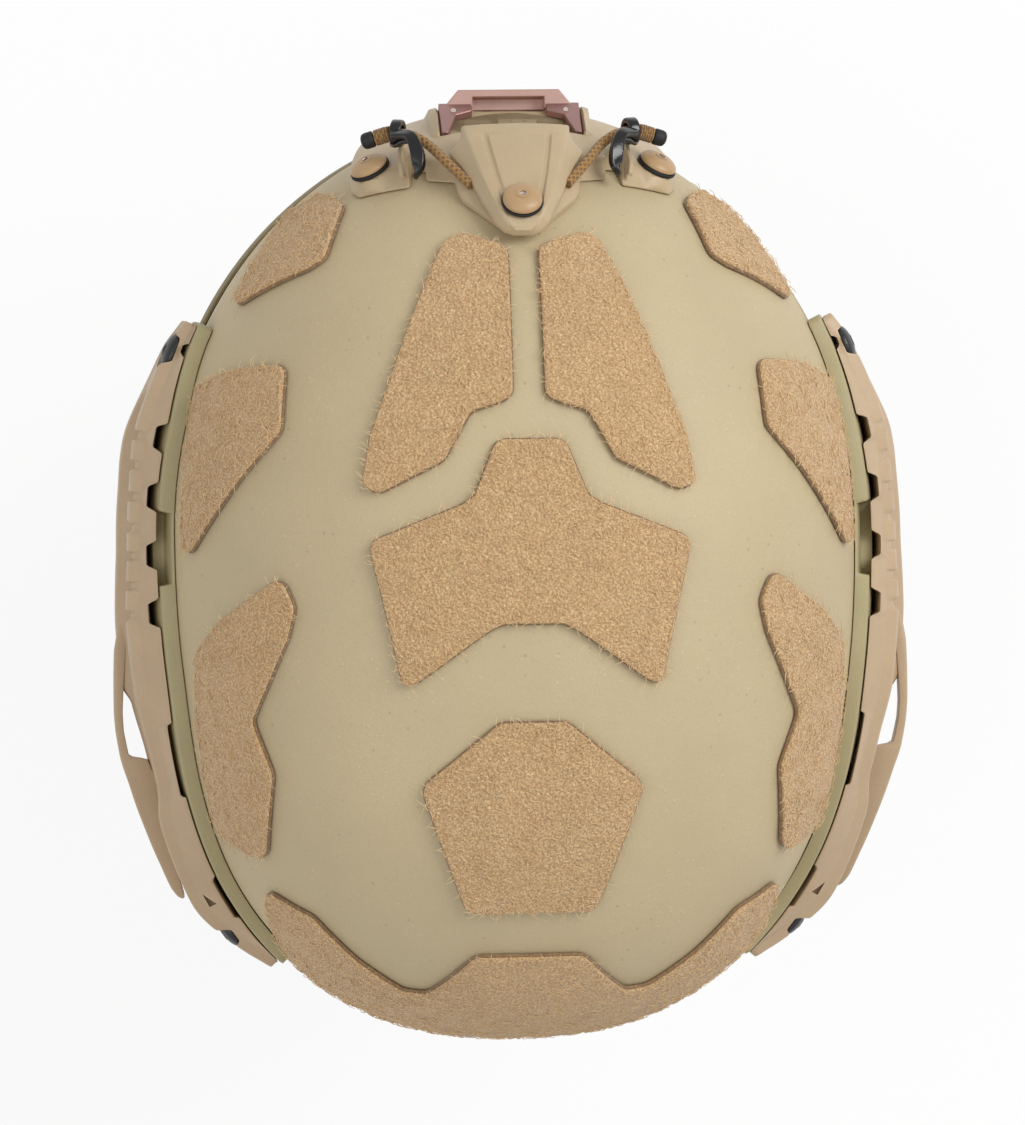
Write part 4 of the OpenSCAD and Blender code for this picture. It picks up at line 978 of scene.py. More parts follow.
@dataclass(frozen=True)
class Anodised(Finish):
    """Blasted and anodised aluminium."""

    def build(self, g: Graph) -> bpy.types.Material:
        """Fills the material."""
        fine = g.noise(2600, 2, 0.7)
        cloud = g.noise(55, 3).span(0.35, 0.7)
        base = g.mix(cloud, self.tint(0.93), self.tint(1.06))
        return g.finish(Base_Color=base, Metallic=0.82, Roughness=fine * 0.14 + (self.rough - 0.07),
                        Normal=g.bump(fine, 0.00003))


@dataclass(frozen=True)
class LoopPile(Finish):
    """Napped loop fabric with pale loop tops, which are painted highlight, and darker hollows, which are
    painted shade.
    """

    def build(self, g: Graph) -> bpy.types.Material:
        """Fills the material."""
        loops = g.cells(950)
        curls = g.noise(2000, 3, 0.8)
        cloud = g.noise(75, 4, 0.6).span(0.34, 0.68)
        base = g.mix(cloud, self.tint(0.92), self.tint(1.06))
        # Painted shade: the hollows between loops, and random flecks, darken to this colour.
        hollow_shade = tuple(c * k for c, k in zip(self.colour, (0.60, 0.46, 0.34)))
        base = g.mix(loops.span(0.25, 0.62) * 0.6, base, hollow_shade)
        # Painted highlight: the raised curls are paled.
        base = g.mix(curls.span(0.50, 0.62) * 0.85, base, self.tint(1.45, 0.1))
        base = g.mix(g.noise(1500, 2, 0.8).span(0.56, 0.65) * 0.7, base, hollow_shade)
        height = curls * 0.8 + loops.span(0.0, 0.7, 1, 0)
        return g.finish(Base_Color=base, Roughness=self.rough, Sheen_Weight=0.25, Sheen_Roughness=0.6,
                        Normal=g.bump(height, 0.0006))


@dataclass(frozen=True)
class Braid(Finish):
    """Braided cord; its map coordinates run round and along it."""

    pitch: float = 1.15
    strands: int = 4
    girth: float = 0.94

    def build(self, g: Graph) -> bpy.types.Material:
        """Fills the material."""
        round_, along = g.uv()
        turn = round_ * (2 * math.pi / self.girth) * self.strands
        rise = along * (10 / self.pitch * math.pi)
        over = (turn + rise).sin().most((turn - rise).sin())
        fleck = g.noise(1500, 2, 0.7)
        # Painted shade: the gaps between strands darken to a shaded copy of the cord's colour.
        base = g.mix(over.span(-0.3, 0.9), self.tint(0.55), self.colour)
        base = g.mix(fleck.span(0.52, 0.7) * 0.45, base, self.tint(1.6))
        return g.finish(Base_Color=base, Roughness=self.rough, Sheen_Weight=0.2,
                        Normal=g.bump(over + fleck * 0.4, 0.0003))


@dataclass(frozen=True)
class Weave(Finish):
    """Woven cloth or webbing; map coordinates run across and along it."""

    threads: float = 8.0
    depth: float = 0.0003

    def build(self, g: Graph) -> bpy.types.Material:
        """Fills the material."""
        across, along = g.uv()
        warp = (across * (math.pi * self.threads)).sin()
        weft = (along * (math.pi * self.threads)).sin()
        ribs = (warp * weft).span(-0.6, 0.9)
        fleck = g.noise(900, 3, 0.7)
        # Painted shade: the low half of the weave darkens to a shaded copy of the colour.
        base = g.mix(ribs, self.tint(0.62), self.colour)
        base = g.mix(fleck.span(0.5, 0.75) * 0.35, base, self.tint(1.4))
        return g.finish(Base_Color=base, Roughness=self.rough, Sheen_Weight=0.2,
                        Normal=g.bump(ribs + fleck * 0.3, self.depth))


@dataclass(frozen=True)
class Knit(Finish):
    """Soft knitted or sueded cloth, the same in every direction."""

    size: float = 900.0
    depth: float = 0.00025

    def build(self, g: Graph) -> bpy.types.Material:
        """Fills the material."""
        stitch = g.cells(self.size)
        cloud = g.noise(40, 4, 0.6).span(0.35, 0.7)
        base = g.mix(cloud, self.tint(0.86), self.tint(1.12))
        # Painted shade: the gaps between the stitches darken.
        base = g.mix(stitch.span(0.3, 0.7) * 0.6, base, self.tint(0.5))
        return g.finish(Base_Color=base, Roughness=self.rough, Sheen_Weight=0.3,
                        Normal=g.bump(stitch.span(0, 0.7, 1, 0), self.depth))


class Look:
    """The finishes of this helmet."""

    SHELL = Paint("shell_paint", "shell_paint", srgb(191, 174, 138), 0.58)
    BACKER = Moulding("backer_polymer", "backer_polymer", srgb(170, 158, 118), 0.5)
    TRIM = Moulding("trim_rubber", "trim_rubber", srgb(140, 126, 94), 0.62)
    RAIL = Moulding("rail_polymer", "rail_polymer", srgb(187, 162, 131), 0.40)
    MOUNT = Moulding("mount_polymer", "mount_polymer", srgb(185, 164, 130), 0.44)
    PLATE = Anodised("anodised_plate", "anodised_plate", srgb(205, 168, 157), 0.36)
    # Painted shade: the cheeks are the plate's own metal, given a darker copy of its colour for their
    # forward-tilted faces.
    PLATE_SHADED = Anodised("anodised_plate_shaded", "anodised_plate", srgb(166, 128, 123), 0.42)
    STEEL = Anodised("bright_steel", "anodised_plate", srgb(220, 206, 196), 0.3)
    SCREW_TAN = Moulding("screw_tan", "tan_hardware", srgb(180, 147, 107), 0.36)
    SCREW_BLACK = Moulding("screw_black", "black_hardware", srgb(38, 38, 40), 0.34)
    RUBBER = Moulding("washer_rubber", "black_rubber", srgb(20, 20, 21), 0.6)
    HOOK = Moulding("hook_black", "black_plastic", srgb(9, 9, 10), 0.2, coat=0.3)
    CORD = Braid("elastic_braid", "elastic_cord", srgb(166, 122, 62), 0.75)
    LOOP = LoopPile("loop_pile", "loop_patch", srgb(214, 177, 126), 0.92)
    LOOP_FIBRE = Finish("loop_fibre", "loop_patch", srgb(228, 196, 150), 0.85)
    LOOP_BACK = Knit("loop_backing", "loop_patch", srgb(150, 117, 80), 0.85)
    PAD = Knit("pad_knit", "pad_cloth", srgb(92, 88, 76), 0.9)
    PAD_THREAD = Weave("pad_thread", "pad_cloth", srgb(150, 142, 120), 0.75)
    GRIP = Moulding("knob_rubber", "dark_plastic", srgb(30, 30, 30), 0.6)
    PAD_EDGE = Weave("pad_binding", "pad_cloth", srgb(62, 60, 52), 0.8)
    HOOK_DISC = Knit("hook_disc", "hook_disc", srgb(34, 34, 34), 0.9)
    DARK = Moulding("dark_polymer", "dark_plastic", srgb(46, 45, 43), 0.45)
    PINION = Moulding("pinion_acetal", "pinion_plastic", srgb(196, 194, 186), 0.35)
    STRIP = Moulding("hanger_strip", "hanger_strip", srgb(58, 56, 51), 0.5)
    WEBBING = Weave("harness_webbing", "webbing", srgb(164, 140, 108), 0.8)
    THREAD = Weave("harness_thread", "webbing", srgb(120, 98, 70), 0.75)
    SUEDE = Knit("cup_suede", "cup_suede", srgb(112, 102, 84), 0.9, size=1500.0, depth=0.00012)


# Shell and rim
@dataclass
class ShellAssembly:
    """The laminated shell and the rubber trim round its rim."""

    sectors: int = 360
    rings: int = 84
    trim_wall: float = 1.6
    trim_lip: float = 6.5
    gap: float = 0.3

    def azimuths(self) -> Array:
        """Sectors round the rim, in degrees from the front."""
        return np.linspace(-180, 180, self.sectors, endpoint=False)

    def shell(self) -> None:
        """The shell's outer and inner skin."""
        a, n = self.azimuths(), self.sectors
        up = (90 - DOME.rim_rise(a))[None, :] * (np.arange(self.rings) / self.rings)[:, None]
        directions = DOME.rim_direction(np.broadcast_to(a, up.shape), up)
        shape = Shape()
        for offset in (0.0, -DOME.wall):
            start = shape.count
            shape.grid(DOME.lifted(directions, np.full(up.shape, offset)))
            shape.add(DOME.lifted(np.array([[0.0, 0.0, 1.0]]), np.array([offset])), [])
            last, top = start + (self.rings - 1) * n, start + self.rings * n
            shape.faces += [(last + i, last + (i + 1) % n, top) for i in range(n)]
        inner = self.rings * n + 1
        shape.faces += [(i, (i + 1) % n, inner + (i + 1) % n, inner + i) for i in range(n)]
        shape.piece("shell_skin", Look.SHELL, ["shell"])

    def trim(self) -> None:
        """The rubber channel over the rim."""
        w, lip, g, t = self.trim_wall, self.trim_lip, self.gap, DOME.wall
        outline = rounded([[g + w * 0.55, lip], [g + w + 0.3, lip * 0.45], [g + w + 0.2, -0.5],
                           [g + w * 0.4, -w - g], [-t - g - w * 0.4, -w - g], [-t - g - w - 0.2, -0.5],
                           [-t - g - w - 0.3, lip * 0.45], [-t - g - w * 0.55, lip], [-t - g, lip - 0.4],
                           [-t - g, -g], [g, -g], [g, lip - 0.4]],
                          [0.5, 1.4, 1.4, 1.1, 1.1, 1.4, 1.4, 0.5, 0.1, 0.6, 0.6, 0.1], 4)
        a = self.azimuths()
        base = DOME.lifted(DOME.rim_direction(a, 0.0), np.zeros(len(a)))
        n = DOME.normal(base)
        up = unit(DOME.lifted(DOME.rim_direction(a, 4.0), np.zeros(len(a))) - base)
        up = squared(up, n)
        rows = base[:, None] + outline[None, :, :1] * n[:, None] + outline[None, :, 1:] * up[:, None]
        Shape().grid(rows, ring=True).piece("edge_channel", Look.TRIM, ["edge_trim"], sharp=60)

    def build(self) -> None:
        """Makes shell and trim."""
        self.shell()
        self.trim()


# Loop patches
@dataclass
class LoopPatches:
    """Napped loop patches on the dome, with outlines in the flat map."""

    low: float = 0.45
    thick: float = 1.8
    backing: float = 0.7
    nap: float = 0.42
    corner: float = 4.2
    front: Sequence = ((4.5, -84), (18.6, -89.1), (23.6, -86.2), (33.1, -64.4), (46.8, -29), (50, -13.5),
                       (44.3, -11.8), (25.3, -21), (17.2, -35.1), (8, -37.9), (4.7, -39.8))
    crown_half: Sequence = ((10, -26.9), (16.7, -10.5), (20.3, -8), (48.3, 2.9), (37.3, 44.1), (34.3, 44.1),
                            (13.8, 29.7), (9, 27.2))
    rear_crown_half: Sequence = ((9.6, 54.6), (31.2, 71.3), (17.4, 104.5))
    brow: Sequence = ((56.6, -108.5), (59.8, -113.2), (68, -121.5), (84, -120), (102, -86.5), (98.6, -82.5),
                      (68.3, -85.3), (61.6, -87.7))
    upper: Sequence = ((74.5, -53.5), (96.5, -56), (118.5, -55), (122, -29.7), (123.2, 4.6), (117.8, 6.6),
                       (90.3, -19.6), (76, -32))
    lower: Sequence = ((76.3, 13.2), (71.3, 22.6), (73.3, 32), (84.9, 58.1), (76.2, 72.2), (78, 96.9),
                       (81.4, 99.8), (103.5, 101), (111.5, 67.1), (112.9, 41.2), (100.8, 29))
    nape_half: Sequence = ((0, 176), (15, 175.5), (31, 172), (50, 165), (65, 155), (75, 143), (79.7, 126),
                           (79.7, 110), (62.2, 112), (48.6, 123), (35.2, 131.7), (28.4, 131.6), (21.2, 124.1),
                           (15.1, 117.4), (0, 117.4))
    seed: int = 7
    pile_edge: float = 0.55
    pile_step: float = 0.95
    lip: float = 0.35
    fibre_r: float = 0.11
    fibre_area: float = 9.0
    fibre_run: Pair = (1.3, 3.2)
    fibre_bend: float = 1.1
    fibre_arch: Pair = (0.25, 0.75)
    fibre_taper: Sequence = (0.8, 1, 1, 0.9, 0.5)

    def outlines(self) -> List[Tuple[str, Points]]:
        """Node names with outlines."""
        out = [("front_left_patch", self.front), ("front_right_patch", mirrored(self.front)),
               ("crown_patch", symmetric(self.crown_half)),
               ("rear_crown_patch", symmetric(self.rear_crown_half)),
               ("nape_patch", symmetric(self.nape_half))]
        for name, outline in (("brow_patch", self.brow), ("upper_patch", self.upper),
                              ("lower_patch", self.lower)):
            out += [("left_" + name, outline), ("right_" + name, mirrored(outline))]
        return out

    def fibres(self, fuzz: Shape, outline: Array, high: float, chance: np.random.Generator) -> None:
        """Adds loose curled fibres over a patch and along its edge.

        Args:
            fuzz: Where they go.
            outline: The patch's outline in the flat map.
            high: Height of the pile's face over the skin.
            chance: Source of the random values.
        """
        x, y = outline[:, 0], outline[:, 1]
        area = 0.5 * abs(np.sum(x * np.roll(y, -1) - y * np.roll(x, -1)))
        spots = chance.uniform(outline.min(axis=0), outline.max(axis=0), (int(3 * area / self.fibre_area), 2))
        spots = spots[inside(spots, outline)]
        rim = inset(resample(outline, 1.3, closed=True), self.lip)
        places = np.vstack([spots, rim])
        n = len(places)
        turn = chance.uniform(0, 2 * np.pi, n)
        length = chance.uniform(*self.fibre_run, n)
        bend = chance.uniform(-self.fibre_bend, self.fibre_bend, n)
        arch = chance.uniform(*self.fibre_arch, n)
        t = np.linspace(0, 1, 5)
        base = DOME.skin(places, np.full(n, high - 0.15))
        up = DOME.normal(base)
        east = unit(np.cross([0, 1, 0], up))
        north = np.cross(up, east)
        ahead = np.cos(turn)[:, None] * east + np.sin(turn)[:, None] * north
        aside = np.cross(up, ahead)
        path = (base[:, None] + (length[:, None] * t)[..., None] * ahead[:, None]
                + (length[:, None] * bend[:, None] * t * t)[..., None] * aside[:, None]
                + (4 * arch[:, None] * t * (1 - 0.8 * t))[..., None] * up[:, None])
        along = unit(np.gradient(path, axis=1))
        side = unit(np.cross(along, np.broadcast_to(up[:, None], along.shape)))
        top = np.cross(side, along)
        a = full_turn(3)
        thick = self.fibre_r * np.array(self.fibre_taper)[None, :, None, None]
        out = np.cos(a)[:, None] * side[:, :, None] + np.sin(a)[:, None] * top[:, :, None]
        quads = [(3 * k + i, 3 * k + (i + 1) % 3, 3 * k + 3 + (i + 1) % 3, 3 * k + 3 + i)
                 for k in range(4) for i in range(3)]
        faces = [tuple(15 * f + q for q in quad) for f in range(n) for quad in quads]
        fuzz.add(path[:, :, None] + thick * out, faces)

    def build(self) -> None:
        """Makes the pile of each patch, then all backings and all loose fibres as one piece each."""
        backs, fuzz = Shape(), Shape()
        chance = np.random.default_rng(self.seed)
        for name, raw in self.outlines():
            outline = turned_left(rounded(raw, self.corner, 6))
            high = self.low + self.thick
            pile = dome_plate(outline, self.low + self.backing, high, self.pile_edge, self.pile_step, 0.8,
                              self.nap)
            pile.piece(name.replace("_patch", "_pile"), Look.LOOP, [name], sharp=80)
            rim = inset(resample(outline, 1.5, closed=True), -self.lip)
            backs.join(dome_plate(rim, self.low, self.low + self.backing + 0.2, edge=0.2, step=6.0,
                                  spacing=1.6))
            self.fibres(fuzz, outline, high, chance)
        backs.piece("patch_backings", Look.LOOP_BACK, sharp=50)
        fuzz.piece("pile_fibres", Look.LOOP_FIBRE, sharp=180)


# Screws
@dataclass(frozen=True)
class HexScrew:
    """A domed screw with a hex socket."""

    head_r: float = 5.9
    head_h: float = 3.1
    shank_r: float = 2.5
    key: float = 1.7
    depth: float = 0.6
    sides: int = 48

    def add_to(self, shape: Shape, point: Array, lift: float, grip: float) -> Shape:
        """Adds the screw over a skin point.

        Args:
            shape: Where it goes.
            point: Skin point of the screw's axis.
            lift: Height of the head's seat over the skin.
            grip: Length of the shank.

        Returns:
            The same shape.
        """
        a = full_turn(self.sides)
        hexagon = self.key * np.cos(np.pi / 6) / np.cos((a + np.pi / 6) % (np.pi / 3) - np.pi / 6)
        rings = [(0.01, -grip), (self.shank_r, -grip), (self.shank_r, 0), (self.head_r - 0.3, 0),
                 (self.head_r, 0.3)]
        for t in np.linspace(0, 1, 12):
            angle = math.radians(lerp(6, 80, t))
            rings.append((self.head_r * math.cos(angle), 0.5 + (self.head_h - 0.5) * math.sin(angle)))
        top = self.head_h
        rings += [(hexagon * k, z) for k, z in ((1.25, top), (1.05, top - 0.02), (1.0, top - 0.25),
                                                (1.0, top - self.depth), (0.02, top - self.depth - 0.3))]
        rows = [np.stack([r * np.cos(a), r * np.sin(a), np.full(self.sides, z)], axis=1) for r, z in rings]
        return shape.grid(placed(np.stack(rows), DOME.frame_at(point, lift)), caps=True)


SCREW = HexScrew()


# Rails
@dataclass
class Rails:
    """Accessory rails and the strips behind them."""

    start: float = -63.0
    end: float = 130.0
    level: float = 21.0
    fall: float = 26.0
    fall_from: float = 40.0
    fall_run: float = 95.0
    half_h: float = 17.0
    end_share: float = 0.6
    front_run: float = 30.0
    rear_from: float = 85.0
    rear_run: float = 45.0
    lip_reach: float = 11.5
    # Place along Y, share of lip_reach
    lip_share: Sequence = ((-63, 0.65), (-56, 0.85), (-45, 0.94), (-30, 1.09), (-14, 1.01), (5, 1.03),
                           (25, 1.14), (48, 1.14), (62, 1.0), (76, 0.98), (83, 1.2), (92, 1.24), (102, 1.3),
                           (110, 1.34), (117, 1.14), (126, 0.84), (130, 0.66))
    lower_extra: float = 2.0
    groove: float = 3.5
    pitch: float = 8.8
    ladder_start: float = -29.2
    ladder_count: int = 7
    notch: float = 1.6
    scallop: float = 3.0
    front_bite: Pair = (-55.5, 1.6)
    slits: Sequence = ((57, 79), (104, 116))
    # Place along Y, inner face, outer face, half height
    strip: Sequence = ((24, 10, 13.6, 3.2), (34, 12.6, 16.2, 3.6), (44, 14.6, 17.6, 3.6),
                       (52, 16.2, 18.8, 3.6), (57, 16.8, 19.3, 3.6), (64.5, 16.8, 19.6, 3.6),
                       (66.5, 11.5, 19.5, 3.6), (72, 10.5, 19, 3.6), (85, 10.5, 18.6, 3.4),
                       (96, 13.5, 18.6, 3.2), (102, 15.4, 18.9, 2.8), (104.5, 16, 18.5, 2.2),
                       (105.8, 16.4, 17.9, 1.4))
    strip_drop: float = 10.4
    pocket_y: float = 107.0
    pocket_at: Pair = (9.6, 6.8)
    pocket_size: Triple = (2.4, 8, 4)
    pocket_turn: float = 28.0
    backer_t: float = 4.6
    gap: float = 0.3
    front_y: float = -54.0
    rear_y: float = 118.0
    seat_front: float = 7.0
    seat_rear: float = 9.4
    window: Pair = (-7.0, 14.5)

    def middle(self, y: Array) -> Array:
        """Height of the rail's middle."""
        return self.level - self.fall * smooth((np.asarray(y, float) - self.fall_from) / self.fall_run)

    def half(self, y: Array) -> Array:
        """Half height of the rail."""
        return (self.half_h * lerp(self.end_share, 1.0, smooth((y - self.start) / self.front_run))
                * lerp(1.0, self.end_share, smooth((y - self.rear_from) / self.rear_run)))

    def reach(self, y: float) -> float:
        """Reach of the upper lip, eased over a few millimetres."""
        share = np.array(self.lip_share)
        near = np.clip(y + np.linspace(-3, 3, 7), self.start, self.end)
        return self.lip_reach * float(np.interp(near, share[:, 0], share[:, 1]).mean())

    def bite(self, y: float) -> float:
        """How far the lip's inner edge is cut back at a place."""
        scallops = self.ladder_start - 0.2 + 2 * self.pitch * np.arange(4)
        cuts = [self.scallop * float(np.max(1 - smooth((np.abs(y - scallops) - 2.7) / 2.0)))]
        cuts.append(self.front_bite[1] * (1 - ease(abs(y - self.front_bite[0]) - 1.1)))
        for low, high in self.slits:
            cuts.append(1.3 * ease((y - low + 0.4) / 0.8) * ease((high + 0.4 - y) / 0.8))
        return max(cuts)

    def section(self, y: float) -> Tuple[Array, Array]:
        """Corner points and corner radii of the rail's section."""
        k = float(self.half(y)) / self.half_h
        lip = self.reach(y)
        foot = lip + self.lower_extra * ease((y + 50) / 30) * (1 - ease((y - 44) / 6))
        groove = self.groove * ease((y + 44) / 12) * (1 - ease((y - 62) / 14))
        ladder = self.ladder_start + self.pitch * np.arange(self.ladder_count)
        notch = self.notch * float(np.max(1 - smooth((np.abs(y - ladder) - 1.0) / 0.45)))
        bite = self.bite(y)
        inner = self.backer_t + self.gap
        points = [[inner + bite, 17 * k - bite * 0.8], [lip - 3.4, 9.5 * k], [lip - 0.3 - notch, 7.6 * k],
                  [lip - notch, 6.6 * k], [lip - notch, 3 * k], [lip - 0.4 - groove, 1.5 * k],
                  [lip - 0.4 - groove, -6 * k], [foot - 0.4, -7.5 * k], [foot, -8.8 * k], [foot, -13 * k],
                  [foot - 2.6, -16.2 * k], [inner, -17 * k], [inner, 0]]
        radii = [0.7, 1.2, 0.4, 0.3, 0.6, 0.5, 0.5, 0.6, 0.5, 0.8, 0.9, 0.6, 0]
        return np.array(points), np.array(radii)

    def stations(self, low: float, high: float, step: float = 0.6) -> Array:
        """Places along Y where a strip gets a section."""
        return np.linspace(low, high, int((high - low) / step) + 1)

    def strip_along(self, ys: Array, sections: Array, run: float = 1.6, share: float = 0.16) -> Shape:
        """A strip along the left side, whose end sections draw in.

        Args:
            ys: Places along Y.
            sections: Points [out, up] of the section at each place.
            run: Length over which an end draws in.
            share: How far it draws in.

        Returns:
            The closed shape.
        """
        out = sections.copy()
        for k, y in enumerate(ys):
            d = min(y - ys[0], ys[-1] - y)
            if d < run:
                s = 1 - share * (1 - math.sqrt(max(0.0, 1 - (1 - d / run) ** 2)))
                centre = out[k].mean(axis=0)
                out[k] = centre + (out[k] - centre) * s
        return Shape().grid(DOME.side_strip(ys, self.middle(ys), out), caps=True)

    def rail_shape(self) -> Shape:
        """The rail's body on the left side."""
        ys = self.stations(self.start, self.end)
        return self.strip_along(ys, np.stack([rounded(*self.section(float(y)), 4) for y in ys]))

    def strip_shape(self) -> Shape:
        """The strip that leaves the left rail behind the ear and ends free."""
        table = np.array(self.strip)
        ys = self.stations(table[0, 0], table[-1, 0], 0.9)
        rows = []
        for y in ys:
            inner, outer, h = read_off(table[:, 1:], table[:, 0], [y])[0]
            high, low = h - self.strip_drop, -h - self.strip_drop
            rows.append(rounded([[inner, high], [outer, high], [outer, low], [inner, low]],
                                [0.4, 0.9, 0.9, 0.4], 3))
        return self.strip_along(ys, np.stack(rows), 1.2, 0.4)

    def backer_shape(self) -> Shape:
        """The strip between shell and rail, on the left side."""
        ys = self.stations(self.start - 1, self.end + 1)
        rows = []
        for y in ys:
            k = float(self.half(y))
            cut = 1 - max(ease((self.window[0] - y) / 0.8), ease((y - self.window[1]) / 0.8))
            t = self.backer_t - cut * (self.backer_t - 1.2)
            points = [[self.gap, -k], [self.backer_t, -k], [self.backer_t, 0], [self.backer_t, k - 9],
                      [t, k - 8.2], [t, k + 0.4], [self.gap, k + 1], [self.gap, k / 2], [self.gap, 0],
                      [self.gap, -k / 2]]
            rows.append(rounded(points, [0.5, 0.5, 0, 0.2, 0.3, 0.9, 0.3, 0, 0, 0], 3))
        return self.strip_along(ys, np.stack(rows))

    def screw_points(self) -> List[Tuple[Array, float]]:
        """Skin points of the left rail's screws, with the height of each seat."""
        return [(DOME.side_point(y, float(self.middle(y))), seat)
                for y, seat in ((self.front_y, self.seat_front), (self.rear_y, self.seat_rear))]

    def cuts(self) -> Shape:
        """Round seats of the screws and the small pocket ahead of the rear one."""
        shape = Shape()
        for point, seat in self.screw_points():
            shape.revolve([[0.01, 0], [SCREW.head_r + 0.35, 0], [SCREW.head_r + 0.5, 0.15],
                           [SCREW.head_r + 0.5, 20], [0.01, 20]], DOME.frame_at(point, seat), 40)
        mid = self.middle(np.array([self.pocket_y]))
        at = DOME.side_strip(np.array([self.pocket_y]), mid, np.array([[self.pocket_at]]))[0, 0]
        turn = Matrix.Translation(Vector(at * MM)) @ Matrix.Rotation(math.radians(self.pocket_turn), 4, "Z")
        return shape.box((0, 0, 0), self.pocket_size, turn)

    def build(self) -> None:
        """Makes rails, strips and screws of both sides."""
        rail, backer, cuts = self.rail_shape(), self.backer_shape(), self.cuts()
        body = rail.piece("left_rail_body", Look.RAIL, ["left_rail"], sharp=38)
        carve(body, cuts, 38)
        mirror_piece(body, "right_rail_body", Look.RAIL, "right_rail")
        pair(self.strip_shape(), "rail_strip", Look.RAIL, sharp=38)
        pair(backer, "backer_strip", Look.BACKER, "rail_backer")
        screws = Shape()
        for point, seat in self.screw_points():
            SCREW.add_to(screws, point, seat + 0.1, seat + 10)
        screws.both().piece("rail_screw_heads", Look.SCREW_BLACK, ["rail_screws"], sharp=30)


